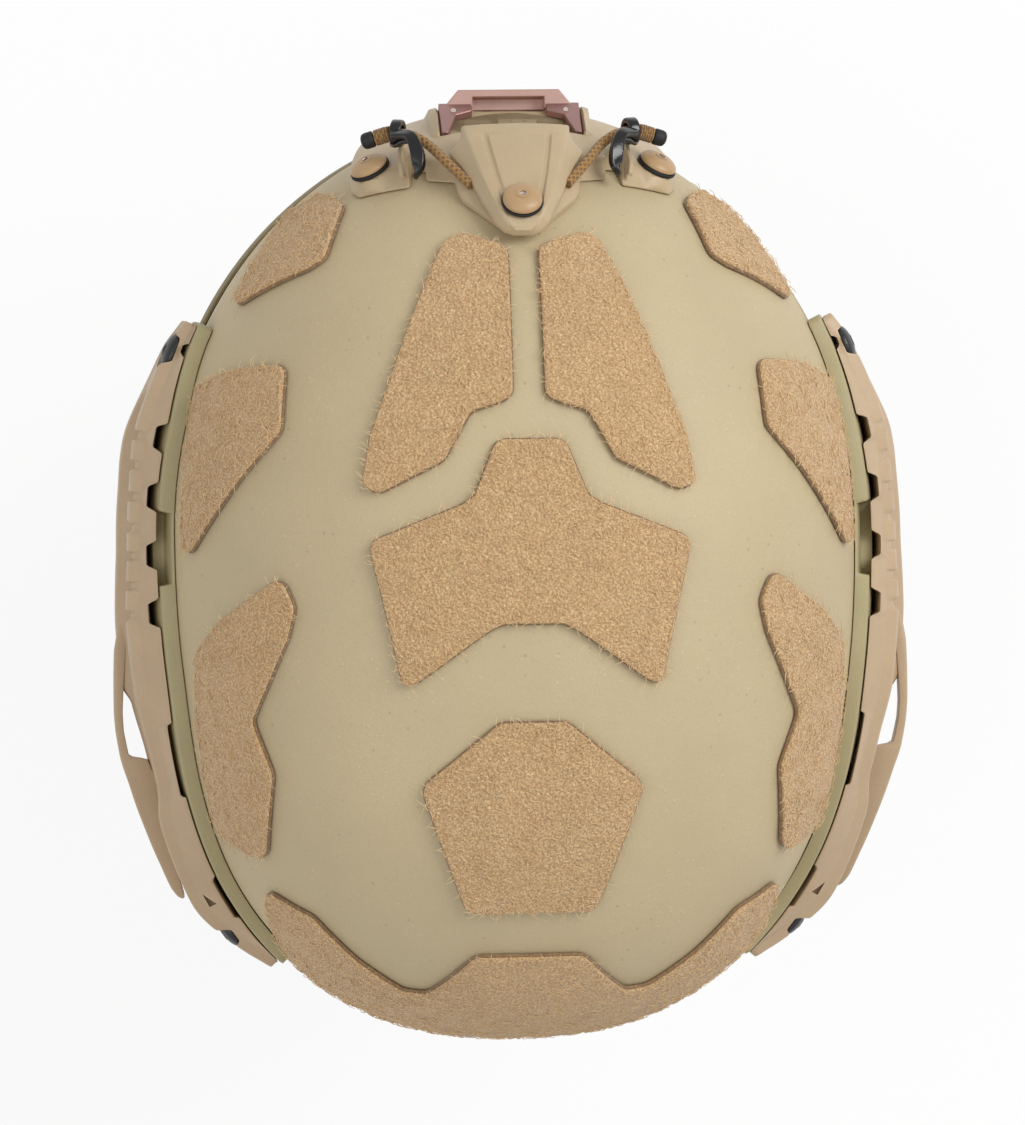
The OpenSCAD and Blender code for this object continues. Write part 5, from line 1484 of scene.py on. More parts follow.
# Front mount
@dataclass
class FrontMount:
    """Bracket, cover, aluminium plate, screws and washers at the brow."""

    gap: float = 0.3
    wing_t: float = 4.0
    washer_t: float = 1.0
    top: Sequence = ((0, -88), (4, -88.6), (7.5, -91), (17, -100), (18.3, -102.8), (19.6, -109),
                     (28.4, -111.4), (28.6, -116.2), (33.5, -116.8), (33.7, -109.8), (51.5, -111),
                     (54.5, -114.5))
    foot: Sequence = ((54.5, -150), (50, -165), (42, -174), (30, -180), (0, -182))
    fin: Triple = (34.0, 36.2, 2.4)
    fin_run: Pair = (-110.4, -127.0)
    rear_t: float = 0.9
    boss_r: float = 5.6
    centre_uv: Pair = (0.0, -92.4)
    wing_uv: Pair = (46.0, -118.0)
    plate_t: float = 6.0
    plate_w: float = 40.0
    plate_top_w: float = 31.0
    plate_h: float = 44.0
    plate_top_z: float = 34.0
    slot_w: float = 22.0
    window_drop: float = 24.0
    window_h: float = 20.0
    seat_foot_z: float = -9.0
    seat_half: float = 24.6
    seat_levels: Sequence = (2, 13, 24, 35, 48.5)
    rib_in: float = 21.7
    slope_angle: float = 56.0
    cheek_t: float = 2.4
    cheek_l: float = 18.0
    rib_at: float = 22.0
    # Place along the middle line, half width at the foot, half width at the top, height
    cover: Sequence = ((-85.2, 3, 1.8, 2.6), (-86.3, 5.4, 4, 3.6), (-88.2, 7.4, 5.6, 4.6),
                       (-91.4, 8.8, 7.1, 5.2), (-96.4, 11.3, 9.1, 5.45), (-102.5, 13.8, 11.2, 5.7),
                       (-108.6, 16.5, 12.9, 6.1), (-114.8, 20, 14.4, 6.5), (-120.5, 16.2, 15.6, 7))
    cover_foot: float = 4.6
    cover_seat: float = 9.6

    @property
    def plate_back(self) -> float:
        """Y of the plate's back."""
        return -DOME.front - 1.5

    @property
    def seat_y(self) -> float:
        """Y of the flat that the plate rests on."""
        return self.plate_back + 0.1

    def slope(self, t: float, rise: float) -> Pair:
        """Y and Z of a place on the slope above the plate."""
        c, s = math.cos(math.radians(self.slope_angle)), math.sin(math.radians(self.slope_angle))
        return self.seat_y + t * c - rise * s, self.plate_top_z - 2 + t * s + rise * c

    def slope_place(self, rise: float) -> Matrix:
        """Axes on the slope: X across, Y up the slope, Z out of it."""
        y, z = self.slope(0, rise)
        turn = Matrix.Rotation(math.radians(self.slope_angle), 4, "X")
        return Matrix.Translation((0, y * MM, z * MM)) @ turn

    def seat(self) -> Shape:
        """The block behind the plate, with a rounded rib on each side of the slope."""
        edges = np.array([self.rib_in, 22, 24.2])
        xs = np.unique(np.concatenate([np.linspace(-self.seat_half, self.seat_half, 25), edges, -edges]))
        zs = np.array([self.seat_foot_z, *self.seat_levels])
        rows = []
        for x in xs:
            rib = ease((abs(x) - self.rib_in) / 0.5) * ease((24.8 - abs(x)) / 1.2)
            rise = rib * (self.cheek_t + 0.6)
            r = (1 - np.abs(zs / DOME.height(zs)) ** DOME.power) ** (1 / DOME.power)
            e = DOME.front_power
            depth = DOME.front * (r ** e - (abs(x) / DOME.half_w) ** e) ** (1 / e)
            inner = [(-d - 1.4, z) for d, z in zip(depth, zs)]
            outer = [self.slope(self.cheek_l, rise), self.slope(6, rise), self.slope(0, 0.3 * rise),
                     (self.seat_y, 20), (self.seat_y, 6), (self.seat_y, self.seat_foot_z)]
            rows.append([(x, y, z) for y, z in inner + outer])
        return Shape().grid(np.array(rows), caps=True)

    def bracket(self) -> None:
        """The wings, the tongue and the seat."""
        outline = turned_left(rounded(symmetric(self.top + self.foot), 1.2, 4))
        rear = np.array(self.top)

        def face(uv: Array) -> Array:
            """Height of the wings, which thin out to their rear edges round the bosses of the screws."""
            w = np.abs(uv[:, 0])
            ahead = np.interp(w, rear[:, 0], rear[:, 1]) - uv[:, 1]
            boss = 1 - smooth((np.hypot(w - self.wing_uv[0], uv[:, 1] - self.wing_uv[1]) - self.boss_r) / 2.6)
            low = lerp(2.6, self.rear_t, smooth((w - 18) / 3))
            return self.gap + lerp(low, self.wing_t, np.maximum(smooth(ahead / 6), boss))

        cuts = Shape()
        low, high = self.seat_foot_z - 20, self.plate_top_z - 2
        cuts.box((0, self.seat_y - 10, (low + high) / 2), (self.plate_w + 1, 20, high - low), Matrix())
        cuts.box((0, self.cheek_l / 2 + 0.5, 6), (2 * self.rib_at - 0.2, self.cheek_l + 1, 12),
                 self.slope_place(0))
        wings = dome_plate(outline, self.gap + 0.1, face, edge=0.5, step=1.2, spacing=0.9)
        body = wings.piece("brow_wings", Look.MOUNT, ["front_bracket"], sharp=35)
        carve(body, cuts, 35)
        v = np.linspace(*self.fin_run, 14)
        path = DOME.skin(np.column_stack([np.full(len(v), sum(self.fin[:2]) / 2), v]),
                         self.gap + self.wing_t - 0.4)
        rise = self.fin[2] * np.interp(v, [self.fin_run[1], self.fin_run[1] + 5, -113, self.fin_run[0]],
                                       [0.1, 1.5, 1.1, 0.35])
        width = self.fin[1] - self.fin[0] - 0.5
        w = width / 2
        ridge = np.stack([rounded([[-w, 0], [w, 0], [w - 0.2, h + 0.4], [0.2 - w, h + 0.4]],
                                  [0, 0, 0.35, 0.35], 3) for h in rise])
        fins = Shape().sweep(path, ridge, DOME.normal(path)).both()
        fins.piece("wing_fins", Look.MOUNT, sharp=50)
        seat = self.seat().piece("plate_seat", Look.MOUNT, sharp=35)
        carve(seat, Shape().box((0, self.seat_y - 0.3, self.plate_top_z), (self.slot_w, 2, 12), Matrix()), 35)
        soften(seat, 0.35)

    def plate(self) -> None:
        """The aluminium plate with its slot, window, cheeks and pins."""
        back, t = self.plate_back, self.plate_t
        half = [(self.plate_w / 2, back), (self.plate_w / 2 - 0.5, back - 1.2),
                (self.plate_top_w / 2, back - t)]
        block = half + [(-x, y) for x, y in half[::-1]]
        base = Matrix.Translation((0, 0, (self.plate_top_z - self.plate_h) * MM))
        shape = Shape().prism(np.array(block), 0, self.plate_h, base)
        body = shape.piece("plate_block", Look.PLATE, ["shroud_plate"], sharp=30)
        cuts = Shape()
        cuts.box((0, back - t / 2 + 2.3, self.plate_top_z), (self.slot_w, t, 12), Matrix())
        cuts.box((0, back - t + 1, self.plate_top_z - self.window_drop),
                 (self.slot_w - 6, 4, self.window_h), Matrix())
        carve(body, cuts, 30)
        soften(body, 0.3)
        outline = [(self.slot_w / 2 + 0.4, 0), (self.rib_at - 0.4, 0), (self.rib_at - 0.6, self.cheek_l),
                   (self.rib_at - 2.6, self.cheek_l), (16.5, 7), (self.slot_w / 2 + 0.4, 4.5)]
        # The cheeks' darker finish is painted shade, not a different metal.
        cheeks = Shape().prism(np.array(outline), 0, self.cheek_t, self.slope_place(0.1)).both()
        soften(cheeks.piece("plate_cheeks", Look.PLATE_SHADED, sharp=30), 0.3)
        pin = Matrix.Translation((17.2 * MM, (back + 0.8) * MM, (self.plate_top_z + 2) * MM))
        pins = Shape().revolve([[0.01, -0.5], [0.9, -0.5], [0.9, 1.7], [0.7, 2], [0.01, 2]], pin, 20).both()
        pins.piece("plate_pins", Look.STEEL)

    def hood(self) -> None:
        """The tapering cover with its two grooves and the seat of the middle screw."""
        table = np.array(self.cover)
        vs = np.unique(np.concatenate([np.linspace(table[0, 0], table[-1, 0], 60), table[:, 0]]))[::-1]
        rows = []
        for v in vs:
            foot, top, rise = read_off(table[:, 1:], -table[:, 0], [-v])[0]
            g = 0.62 * top
            dip = 0.7 * ease((-v - 88) / 3) * ease((v + 117.5) / 2)
            us = [0, g - 1.1, g - 0.35, g + 0.35, g + 1.1, top - 0.9, top - 0.25, top + 0.15]
            hs = [rise, rise, rise - dip, rise - dip, rise, rise, rise - 0.2, rise - 0.7]
            us += list(np.linspace(top + 0.15, foot, 5)[1:]) + [foot, 0.5 * foot]
            hs += list(np.linspace(rise - 0.7, 0.35 * rise, 5)[1:]) + [0.0, 0.0]
            uv = [(u, v) for u in us] + [(-u, v) for u in us[::-1][:-1]]
            rows.append(DOME.skin(np.array(uv), self.cover_foot + np.array(hs + hs[::-1][:-1])))
        hood = Shape().grid(np.stack(rows), caps=True)
        body = hood.piece("mount_hood", Look.MOUNT, ["shroud_cover"], sharp=34)
        seat = DOME.skin(np.array(self.centre_uv), 0.0)
        cut = Shape().revolve([[0.01, 0], [SCREW.head_r + 0.4, 0], [SCREW.head_r + 0.5, 0.1],
                               [SCREW.head_r + 0.5, 12], [0.01, 12]],
                              DOME.frame_at(seat, self.cover_seat), 48)
        carve(body, cut, 34)

    def hardware(self) -> None:
        """The three screws and their rubber washers."""
        screws, washers, sockets = Shape(), Shape(), Shape()
        spots = [(self.centre_uv, self.cover_seat), (self.wing_uv, self.gap + self.wing_t)]
        for uv, seat in spots:
            point = DOME.skin(np.array(uv), 0.0)
            head, ring = Shape(), Shape()
            SCREW.add_to(head, point, seat + self.washer_t + 0.1, seat + 10)
            r = SCREW.head_r + 0.35
            ring.revolve([[2.6, 0.05], [r - 0.15, 0.05], [r, 0.25], [r, 0.85], [r - 0.15, 1.05], [2.6, 1.05]],
                         DOME.frame_at(point, seat))
            # Painted highlight: a pale steel lining in each hex socket stands in for the glint in the socket.
            top, socket_glint = SCREW.head_h - SCREW.depth, Shape()
            socket_glint.revolve([[0.01, top - 0.3], [0.5, top - 0.2], [1.35, top + 0.12], [1.62, top + 0.5],
                          [1.62, top + 0.3], [1.4, top - 0.2], [0.01, top - 0.6]],
                         DOME.frame_at(point, seat + self.washer_t + 0.1), 6)
            for part, whole in ((head, screws), (ring, washers), (socket_glint, sockets)):
                part = part if uv[0] == 0 else part.both()
                whole.join(part)
        screws.piece("mount_screw_heads", Look.SCREW_TAN, ["shroud_screws"], sharp=30)
        # The sockets' pale steel is painted highlight.
        sockets.piece("mount_screw_sockets", Look.STEEL, slot="tan_hardware", sharp=30)
        washers.piece("mount_washers", Look.RUBBER, ["shroud_washers"], sharp=30)

    def build(self) -> None:
        """Makes bracket, plate, cover and hardware."""
        self.bracket()
        self.plate()
        self.hood()
        self.hardware()


@dataclass
class Lanyards:
    """Elastic cords of the front mount with their hooks, whipping and end caps."""

    route: Sequence = ((14.2, -102.2, 5.2), (21.4, -110.8, 6.6), (26, -116.8, 7.8), (30.5, -119.7, 9.8),
                       (35, -120.6, 11), (38.6, -120.4, 11.3), (42, -119.8, 11.2))
    hook_route: Sequence = ((30.8, -115.4, 13), (29.2, -111.6, 10.4), (29.3, -109, 7), (30.8, -108.8, 3.6))
    blade_w: Sequence = ((0, 0.25, 0.6, 0.9, 1), (3.0, 3.2, 4.2, 3.9, 2.6))
    blade_t: Sequence = ((0, 0.3, 0.9, 1), (2.0, 2.2, 2.2, 1.4))
    arm: Sequence = ((37.0, -119.2, 8.6), (35.4, -117, 9.6), (33.2, -115.8, 11.2), (31.2, -114.8, 12.0))
    cord_r: float = 1.5
    cord_up: Sequence = (0.31, 0.17, 0.93)
    coils: int = 6
    coil_r: float = 2.0
    thread_r: float = 0.52
    eye_r: float = 3.3

    @staticmethod
    def lift(route: Sequence) -> Array:
        """Points over the skin from [u, v, height]."""
        r = np.array(route, float)
        return JOINT_DOME.skin(r[:, :2], r[:, 2])

    def cord(self) -> Shape:
        """The cord with the coils whipped round its end."""
        path = spline(self.lift(self.route), 0.8)
        shape = Shape().sweep(path, disc((0, 0), self.cord_r, 16), self.cord_up)
        a, b = self.lift(self.route)[[4, 6]]
        along = unit(b - a)
        side = unit(np.cross(along, self.cord_up))
        other = np.cross(along, side)
        t = np.linspace(0.30, 0.93, self.coils * 18)
        turn = np.linspace(0, self.coils * 2 * np.pi, len(t))[:, None]
        centre = read_off(self.lift(self.route)[4:7], [0, 0.5, 1], t)
        coil = centre + self.coil_r * (np.cos(turn) * side + np.sin(turn) * other)
        return shape.sweep(coil, disc((0, 0), self.thread_r, 8), along)

    def cap(self) -> Shape:
        """The moulded cap at the cord's end."""
        a, b = self.lift(self.route)[[5, 6]]
        along = unit(b - a)
        profile = [(1.6, 0.0), (2.3, 0.05), (2.5, 0.4), (2.5, 2.6), (2.2, 3.4), (1.5, 3.9), (0.5, 4.1),
                   (0.02, 4.1)]
        path = np.stack([b + (0.1 + h) * along for _, h in profile])
        return Shape().sweep(path, disc((0, 0), 1.0, 28), self.cord_up,
                             scale=np.array([r for r, _ in profile]))

    def hook(self) -> Shape:
        """The eye, the strap-like blade and the thin second arm."""
        path = self.lift(self.route)
        eye, along = path[4], unit(path[5] - path[3])
        start = self.lift(self.hook_route)[0]
        side = unit((start - eye) - ((start - eye) @ along) * along)
        third = np.cross(along, side)
        a = full_turn(36)[:, None]
        ring = eye + self.eye_r * (np.cos(a) * side + np.sin(a) * third)
        out = unit(ring - eye)
        band = rounded(box_outline((0, 0), 3.4, 1.7), 0.6, 3)
        shape = Shape().sweep(ring, band, out, ring=True)
        route = np.vstack([eye + (self.eye_r + 0.5) * side, self.lift(self.hook_route)])
        path = spline(route, 0.7)
        t = np.linspace(0, 1, len(path))
        sizes = zip(np.interp(t, *self.blade_w), np.interp(t, *self.blade_t))
        blade = np.stack([rounded(box_outline((0, 0), w, h), 0.6, 3) for w, h in sizes])
        up = DOME.normal(path) + 0.6 * unit(np.array([[0.6, -1.0, 0.4]]))
        shape.sweep(path, blade, up)
        arm = spline(self.lift(self.arm), 0.7)
        return shape.sweep(arm, rounded(box_outline((0, 0), 2.2, 1.3), 0.4, 3), DOME.normal(arm))

    def build(self) -> None:
        """Makes cords, caps and hooks of both sides."""
        cord, hook = self.cord(), self.hook()
        pair(cord, "elastic_cord", Look.CORD, "lanyard")
        self.cap().both().piece("cord_end_caps", Look.RUBBER, ["cord_stops"])
        pair(hook, "cord_hook", Look.HOOK, "hook", 50)


# Soft pads inside
@dataclass(frozen=True)
class PadPlan:
    """One pad: its node, its outline in the flat map and its fullness."""

    node: str
    outline: Array
    centre: Pair
    fill: float = 0.7


def stitches(shape: Shape, path: Array, up: Array, length: float = 2.4, gap: float = 1.1,
             r: float = 0.3) -> None:
    """Adds a row of thread stitches along a path.

    Args:
        shape: Where they go.
        path: Points of the seam.
        up: Direction away from the cloth, one or one for each point.
        length: Length of a stitch.
        gap: Space between stitches.
        r: Radius of the thread.
    """
    s = arc_lengths(path)
    ups = np.broadcast_to(np.asarray(up, float), path.shape)
    start = gap / 2
    while start + length < s[-1]:
        at = np.array([start, start + 0.25 * length, start + 0.75 * length, start + length])
        u = unit(read_off(ups, s, at))
        p = read_off(path, s, at) + u * np.array([[-0.1], [0.5], [0.5], [-0.1]]) * r
        shape.sweep(p, disc((0, 0), r, 6), u, scale=np.array([0.6, 1, 1, 0.6]))
        start += length + gap


def struck(tree: BVHTree, start: Array, aim: Array) -> Optional[Array]:
    """Where a ray first meets a piece, in millimetres, or None."""
    found = tree.ray_cast(Vector(start * MM), Vector(unit(aim)))[0]
    return None if found is None else np.array(found) / MM


@dataclass
class Padding:
    """Comfort pads, their hook discs and the cushion of the fit dial."""

    back: float = -10.1
    voxel: float = 4.5
    pressure: float = 4.0
    frames: int = 20
    swell: float = 4.0
    crown_r: float = 34.0
    middle_pads: Sequence = (("front_pad", (0, -134), 90, 40), ("rear_pad", (0, 124), 84, 40))
    side_pads: Sequence = (("front_pad", (98, -48), 44, 62), ("rear_pad", (98, 42), 44, 62))
    corner: float = 12.0
    channel_share: float = 0.66
    welt_depth: float = 7.0
    welt_r: float = 0.9
    press: float = 1.5
    channel_r: float = 2.0
    shrink: float = 0.965
    cushion_fill: float = 0.6
    cushion_size: Pair = (74, 34)
    cushion_channel: Pair = (0.7, 0.62)
    cushion_welt_y: float = 1.2
    cushion_welt_r: float = 0.8

    def plans(self) -> List[PadPlan]:
        """The seven pads."""
        out = [PadPlan("crown_pad", disc((0, 0), self.crown_r), (0, 0))]
        for name, centre, width, height in self.middle_pads:
            out.append(PadPlan(name, rounded(box_outline(centre, width, height), self.corner), centre))
        for name, centre, width, height in self.side_pads:
            outline = rounded(box_outline(centre, width, height), self.corner)
            out.append(PadPlan("left_" + name, outline, centre))
            out.append(PadPlan("right_" + name, mirrored(outline), (-centre[0], centre[1])))
        return out

    def swollen(self, node: str, name: str, hold: Callable[[Array], Array]) -> Object:
        """A remeshed and inflated copy of a node.

        Args:
            node: The CAD node.
            name: Name of the new object.
            hold: Keeps points, in millimetres, within the room that they have.

        Returns:
            The object, without modifiers.
        """
        mesh = frame["nodes"][node].data.copy()
        mesh.name = name
        obj = linked(name, mesh)
        points = read_points(mesh)
        middle = points.mean(axis=0)
        write_points(mesh, middle + (points - middle) * self.shrink)
        remesh = obj.modifiers.new("remesh", "REMESH")
        remesh.mode = "VOXEL"
        remesh.voxel_size = self.voxel * MM
        bake_modifiers(obj)
        before = read_points(obj.data)
        cloth = obj.modifiers.new("cloth", "CLOTH")
        cloth.settings.use_pressure = True
        cloth.settings.uniform_pressure_force = self.pressure
        cloth.settings.effector_weights.gravity = 0
        scene = bpy.context.scene
        for step in range(1, self.frames + 1):
            scene.frame_set(step)
        bake_modifiers(obj)
        scene.frame_set(1)
        after = read_points(obj.data)
        move = after - before
        far = np.linalg.norm(move, axis=1, keepdims=True)
        write_points(obj.data, hold(before + move * np.minimum(1, self.swell / np.maximum(far, 1e-9))))
        even = obj.modifiers.new("even", "SMOOTH")
        even.factor = 0.5
        even.iterations = 4
        bake_modifiers(obj)
        rise = obj.modifiers.new("subdivide", "SUBSURF")
        rise.levels = 1
        bake_modifiers(obj)
        write_points(obj.data, hold(read_points(obj.data)))
        obj.data.polygons.foreach_set("use_smooth", [True] * len(obj.data.polygons))
        return obj

    def under_shell(self, points: Array) -> Array:
        """Points held on the head side of the hook discs."""
        d = unit(points)
        limit = np.linalg.norm(DOME.lifted(d, np.full(len(d), self.back)), axis=1, keepdims=True)
        return d * np.minimum(np.linalg.norm(points, axis=1, keepdims=True), limit)

    def seam(self, obj: Object, plan: PadPlan, share: float, depth: float, inward: bool) -> Array:
        """A closed line on a pad's surface.

        Args:
            obj: The pad.
            plan: The pad's plan.
            share: Size of the line beside the pad's outline.
            depth: Depth below the pad's back, for a line round its side.
            inward: Looks for the side of the pad; otherwise for its face.

        Returns:
            The points of the line.
        """
        tree = BVHTree.FromObject(obj, bpy.context.evaluated_depsgraph_get())
        centre = np.array(plan.centre, float)
        rim = resample(turned_left(centre + (plan.outline - centre) * share), 2.0, closed=True)
        hits = []
        for uv in rim:
            if inward:
                start = DOME.skin(centre + (uv - centre) * 1.5, self.back - depth)
                aim = DOME.skin(centre, self.back - depth) - start
            else:
                base = DOME.skin(uv, 0.0)
                aim = DOME.normal(base)
                start = base - 60 * aim
            found = struck(tree, start, aim)
            if found is not None:
                hits.append(found)
        line = np.array(hits)
        for _ in range(2):
            line = 0.5 * line + 0.25 * (np.roll(line, 1, axis=0) + np.roll(line, -1, axis=0))
        return line

    def pad(self, plan: PadPlan, welts: Shape, threads: Shape) -> None:
        """One pad with its welt and its sewn channel."""
        obj = self.swollen(plan.node, plan.node + "_cloth", self.under_shell)
        channel = self.seam(obj, plan, self.channel_share, 0, False)
        points = read_points(obj.data)
        near = np.min(np.linalg.norm(points[:, None] - channel[None], axis=2), axis=1)
        face = unit(points - DOME.skin(np.array(plan.centre, float), self.back))
        out = DOME.normal(points)
        press = self.press * np.exp(-(near / self.channel_r) ** 2) * (np.sum(face * out, axis=1) < 0)
        write_points(obj.data, points + press[:, None] * out)
        register(obj, Look.PAD, [plan.node])
        line = self.seam(obj, plan, 1.0, self.welt_depth, True)
        welts.sweep(line, disc((0, 0), self.welt_r, 8), DOME.normal(line), ring=True)
        channel = self.seam(obj, plan, self.channel_share, 0, False)
        closed = np.vstack([channel, channel[:1]])
        stitches(threads, closed, -DOME.normal(closed))

    def cushion(self, welts: Shape, threads: Shape) -> None:
        """The cushion on the head side of the fit dial."""
        low, high = (np.array(c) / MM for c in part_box("nape_cushion"))

        def hold(points: Array) -> Array:
            """Keeps the cushion ahead of the dial's cover and inside its own box."""
            return np.clip(points, low - [1.5, 1.0, 1.5], high + [1.5, 0.0, 1.5])

        obj = self.swollen("nape_cushion", "nape_cushion_cloth", hold)
        register(obj, Look.PAD, ["nape_cushion"])
        tree = BVHTree.FromObject(obj, bpy.context.evaluated_depsgraph_get())
        middle = (low + high) / 2
        side, face = [], []
        across, up = self.cushion_channel
        behind = middle + [0, self.cushion_welt_y, 0]
        for x, z in resample(rounded(box_outline((0, 0), *self.cushion_size), self.corner), 2.0, closed=True):
            start = behind + [x * 1.4, 0, z * 1.4]
            hit = struck(tree, start, behind - start)
            side.append(behind + [x, 0, z] if hit is None else hit)
            start = middle + [x * across, -40, z * up]
            hit = struck(tree, start, np.array([0.0, 1.0, 0.0]))
            face.append(start if hit is None else hit)
        welts.sweep(np.array(side), disc((0, 0), self.cushion_welt_r, 8), (0, 1, 0), ring=True)
        stitches(threads, np.array(face + face[:1]), (0, -1, 0))

    def build(self) -> None:
        """Makes pads, welts, seams and discs."""
        welts, threads = Shape(), Shape()
        for plan in self.plans():
            self.pad(plan, welts, threads)
        self.cushion(welts, threads)
        welts.piece("pad_welts", Look.PAD_EDGE, sharp=180)
        threads.piece("pad_stitches", Look.PAD_THREAD, sharp=180)
        softened_node("pad_discs", "hook_discs", Look.HOOK_DISC, 0.25)


# Fit system
@dataclass
class FitSystem:
    """Dial, housing, rack bands and the hanger behind the head."""

    hard: Sequence = (("dial_housing", "dial_case", Look.DARK, 0.9),
                      ("dial_cover", "dial_case_cover", Look.DARK, 0.5),
                      ("fit_dial", "dial_knob", Look.GRIP, 0.45),
                      ("dial_pinion", "dial_gear", Look.PINION, 0.12),
                      ("left_band", "left_rack_band", Look.DARK, 0.35),
                      ("right_band", "right_rack_band", Look.DARK, 0.35),
                      ("yoke_hanger", "hanger_strap", Look.STRIP, 0.4))

    def build(self) -> None:
        """Makes the hard parts from their nodes."""
        for node, name, finish, width in self.hard:
            softened_node(node, name, finish, width)


# Harness
@dataclass
class Harness:
    """Straps, joiners, adjusters, buckle and chin cup."""

    width: float = 19.0
    thick: float = 1.6
    strap_x: float = 80.5
    cup_c: Triple = (0.0, -70.0, -150.0)
    cup_r: float = 34.0
    cup_t: float = 6.0
    cup_half_turn: float = 70.0
    cup_half_h: Pair = (8, 11)
    cup_rise: float = 6.0
    cup_seam: float = 0.62
    mouth: float = 44.0
    anchor_depth: float = 2.6
    front_wall: Sequence = ((-48.5, 12.5, 0), (-46, 3, 1), (-43.5, -7, 2.4))
    rear_wall: Sequence = ((110.5, -8.5, 0), (104, -15, 1.2), (95, -22.5, 2.6))
    front_end: Pair = (-17, -84)
    rear_end: Pair = (4, -81)
    run_start: Pair = (80, -33)
    join: Sequence = ((-14, -97), (-18.5, -100))
    sewn: Sequence = ((3, 13), (-16, -4))
    box_half: float = 0.36
    tongue_lift: float = 1.9
    line_from: Triple = (77.0, -26.0, -105.0)
    line_dir: Triple = (-0.49632, -0.70638, -0.504672)
    metal: Sequence = (("strap_anchors", "strap_anchor_plates", 0.3), ("rail_nuts", "rail_flange_nuts", 0.3),
                       ("shroud_nuts", "mount_flange_nuts", 0.3))
    moulded: Sequence = (("strap_joiners", "strap_joiner_rings", 0.8),
                         ("left_adjuster", "left_strap_slider", 0.7),
                         ("right_adjuster", "right_strap_slider", 0.7),
                         ("buckle_socket", "buckle_case", 0.9), ("buckle_tongue", "buckle_prongs", 0.6))

    def wall(self, y: float, z: float, depth: float) -> Array:
        """A point inside the shell, by its place and depth."""
        p = DOME.side_point(np.array(y), np.array(z))
        return p - depth * DOME.normal(p)

    def cup_point(self, angle: Array, out: Array, z: Array) -> Array:
        """A point of the chin cup by its angle from the front."""
        a = np.radians(np.asarray(angle, float))
        r = self.cup_r + np.asarray(out, float)
        x, y, z = np.broadcast_arrays(r * np.sin(a), -r * np.cos(a), np.asarray(z, float))
        return np.array(self.cup_c) + np.stack([x, y, z], axis=-1)

    def on_line(self, s: float, out: float) -> Array:
        """A point of the lower strap's straight run."""
        d = np.array(self.line_dir)
        return np.array(self.line_from) + s * d + out * np.cross(d, self.line_across)

    @property
    def line_across(self) -> Array:
        """Width direction of the lower strap's straight run."""
        return unit(np.array([0, -self.line_dir[2], self.line_dir[1]]))

    def strap(self, shape: Shape, threads: Shape, path: Array, across: Array, boxes: Sequence[Pair],
              step: float = 1.6) -> None:
        """Adds one strap with its selvedges and its box stitches.

        Args:
            shape: Where the webbing goes.
            threads: Where the stitches go.
            path: Points along the strap's middle.
            across: Width direction at each point.
            boxes: Start and end of each stitched box, in millimetres along the strap.
            step: Spacing of its sections.
        """
        path, across = np.array(path, float), np.array(across, float)
        s = arc_lengths(path)
        at = np.linspace(0, s[-1], max(int(s[-1] / step), 4))
        eased = PchipLine(s, path).at(at)
        wide = unit(read_off(across, s, at))
        along = unit(np.gradient(eased, axis=0))
        wide = squared(wide, along)
        up = np.cross(along, wide)
        w, t = self.width / 2, self.thick / 2
        section = rounded([[-w, -t], [-w + 1.5, -t], [-w + 1.8, -t * 0.7], [w - 1.8, -t * 0.7],
                           [w - 1.5, -t], [w, -t], [w, t], [w - 1.5, t], [w - 1.8, t * 0.7],
                           [-w + 1.8, t * 0.7], [-w + 1.5, t], [-w, t]],
                          [0.6, 0.2, 0.2, 0.2, 0.2, 0.6] * 2, 3)
        shape.sweep(eased, section, up)
        for low, high in boxes:
            (p, q), h = np.clip([low, high], 0, s[-1]), self.box_half
            lines = [((p, -h), (p, h)), ((p, h), (q, h)), ((q, h), (q, -h)), ((q, -h), (p, -h)),
                     ((p, -h), (q, h)), ((p, h), (q, -h))]
            for a, b in lines:
                n = max(int(math.hypot(b[0] - a[0], (b[1] - a[1]) * self.width) / 1.5), 3)
                d, side = np.linspace(a[0], b[0], n), np.linspace(a[1], b[1], n) * self.width
                base, over, lift = (read_off(rows, at, d) for rows in (eased, wide, up))
                for face in (-1, 1):
                    line = base + side[:, None] * over + face * t * 0.72 * lift
                    stitches(threads, line, face * lift, 2.0, 0.8, 0.24)

    def straps(self) -> None:
        """All the webbing."""
        x = self.strap_x
        front_end, rear_end, run_from = (np.array([x, *p])
                                         for p in (self.front_end, self.rear_end, self.run_start))
        run = unit(rear_end - run_from)
        depth = DOME.wall + self.anchor_depth + self.thick / 2
        front = [self.wall(y, z, depth + more) for y, z, more in self.front_wall]
        rear = [self.wall(y, z, depth + more) for y, z, more in self.rear_wall]
        front_across = unit(np.array([0, front_end[2] - front[2][2], front[2][1] - front_end[1]]))
        run_across = unit(np.array([0, run[2], -run[1]]))

        def wall_across(path: List[Array]) -> List[Array]:
            """Width directions along the wall."""
            return [unit(np.cross(path[k + 1] - path[k], DOME.normal(path[k]))) for k in (0, 1)]

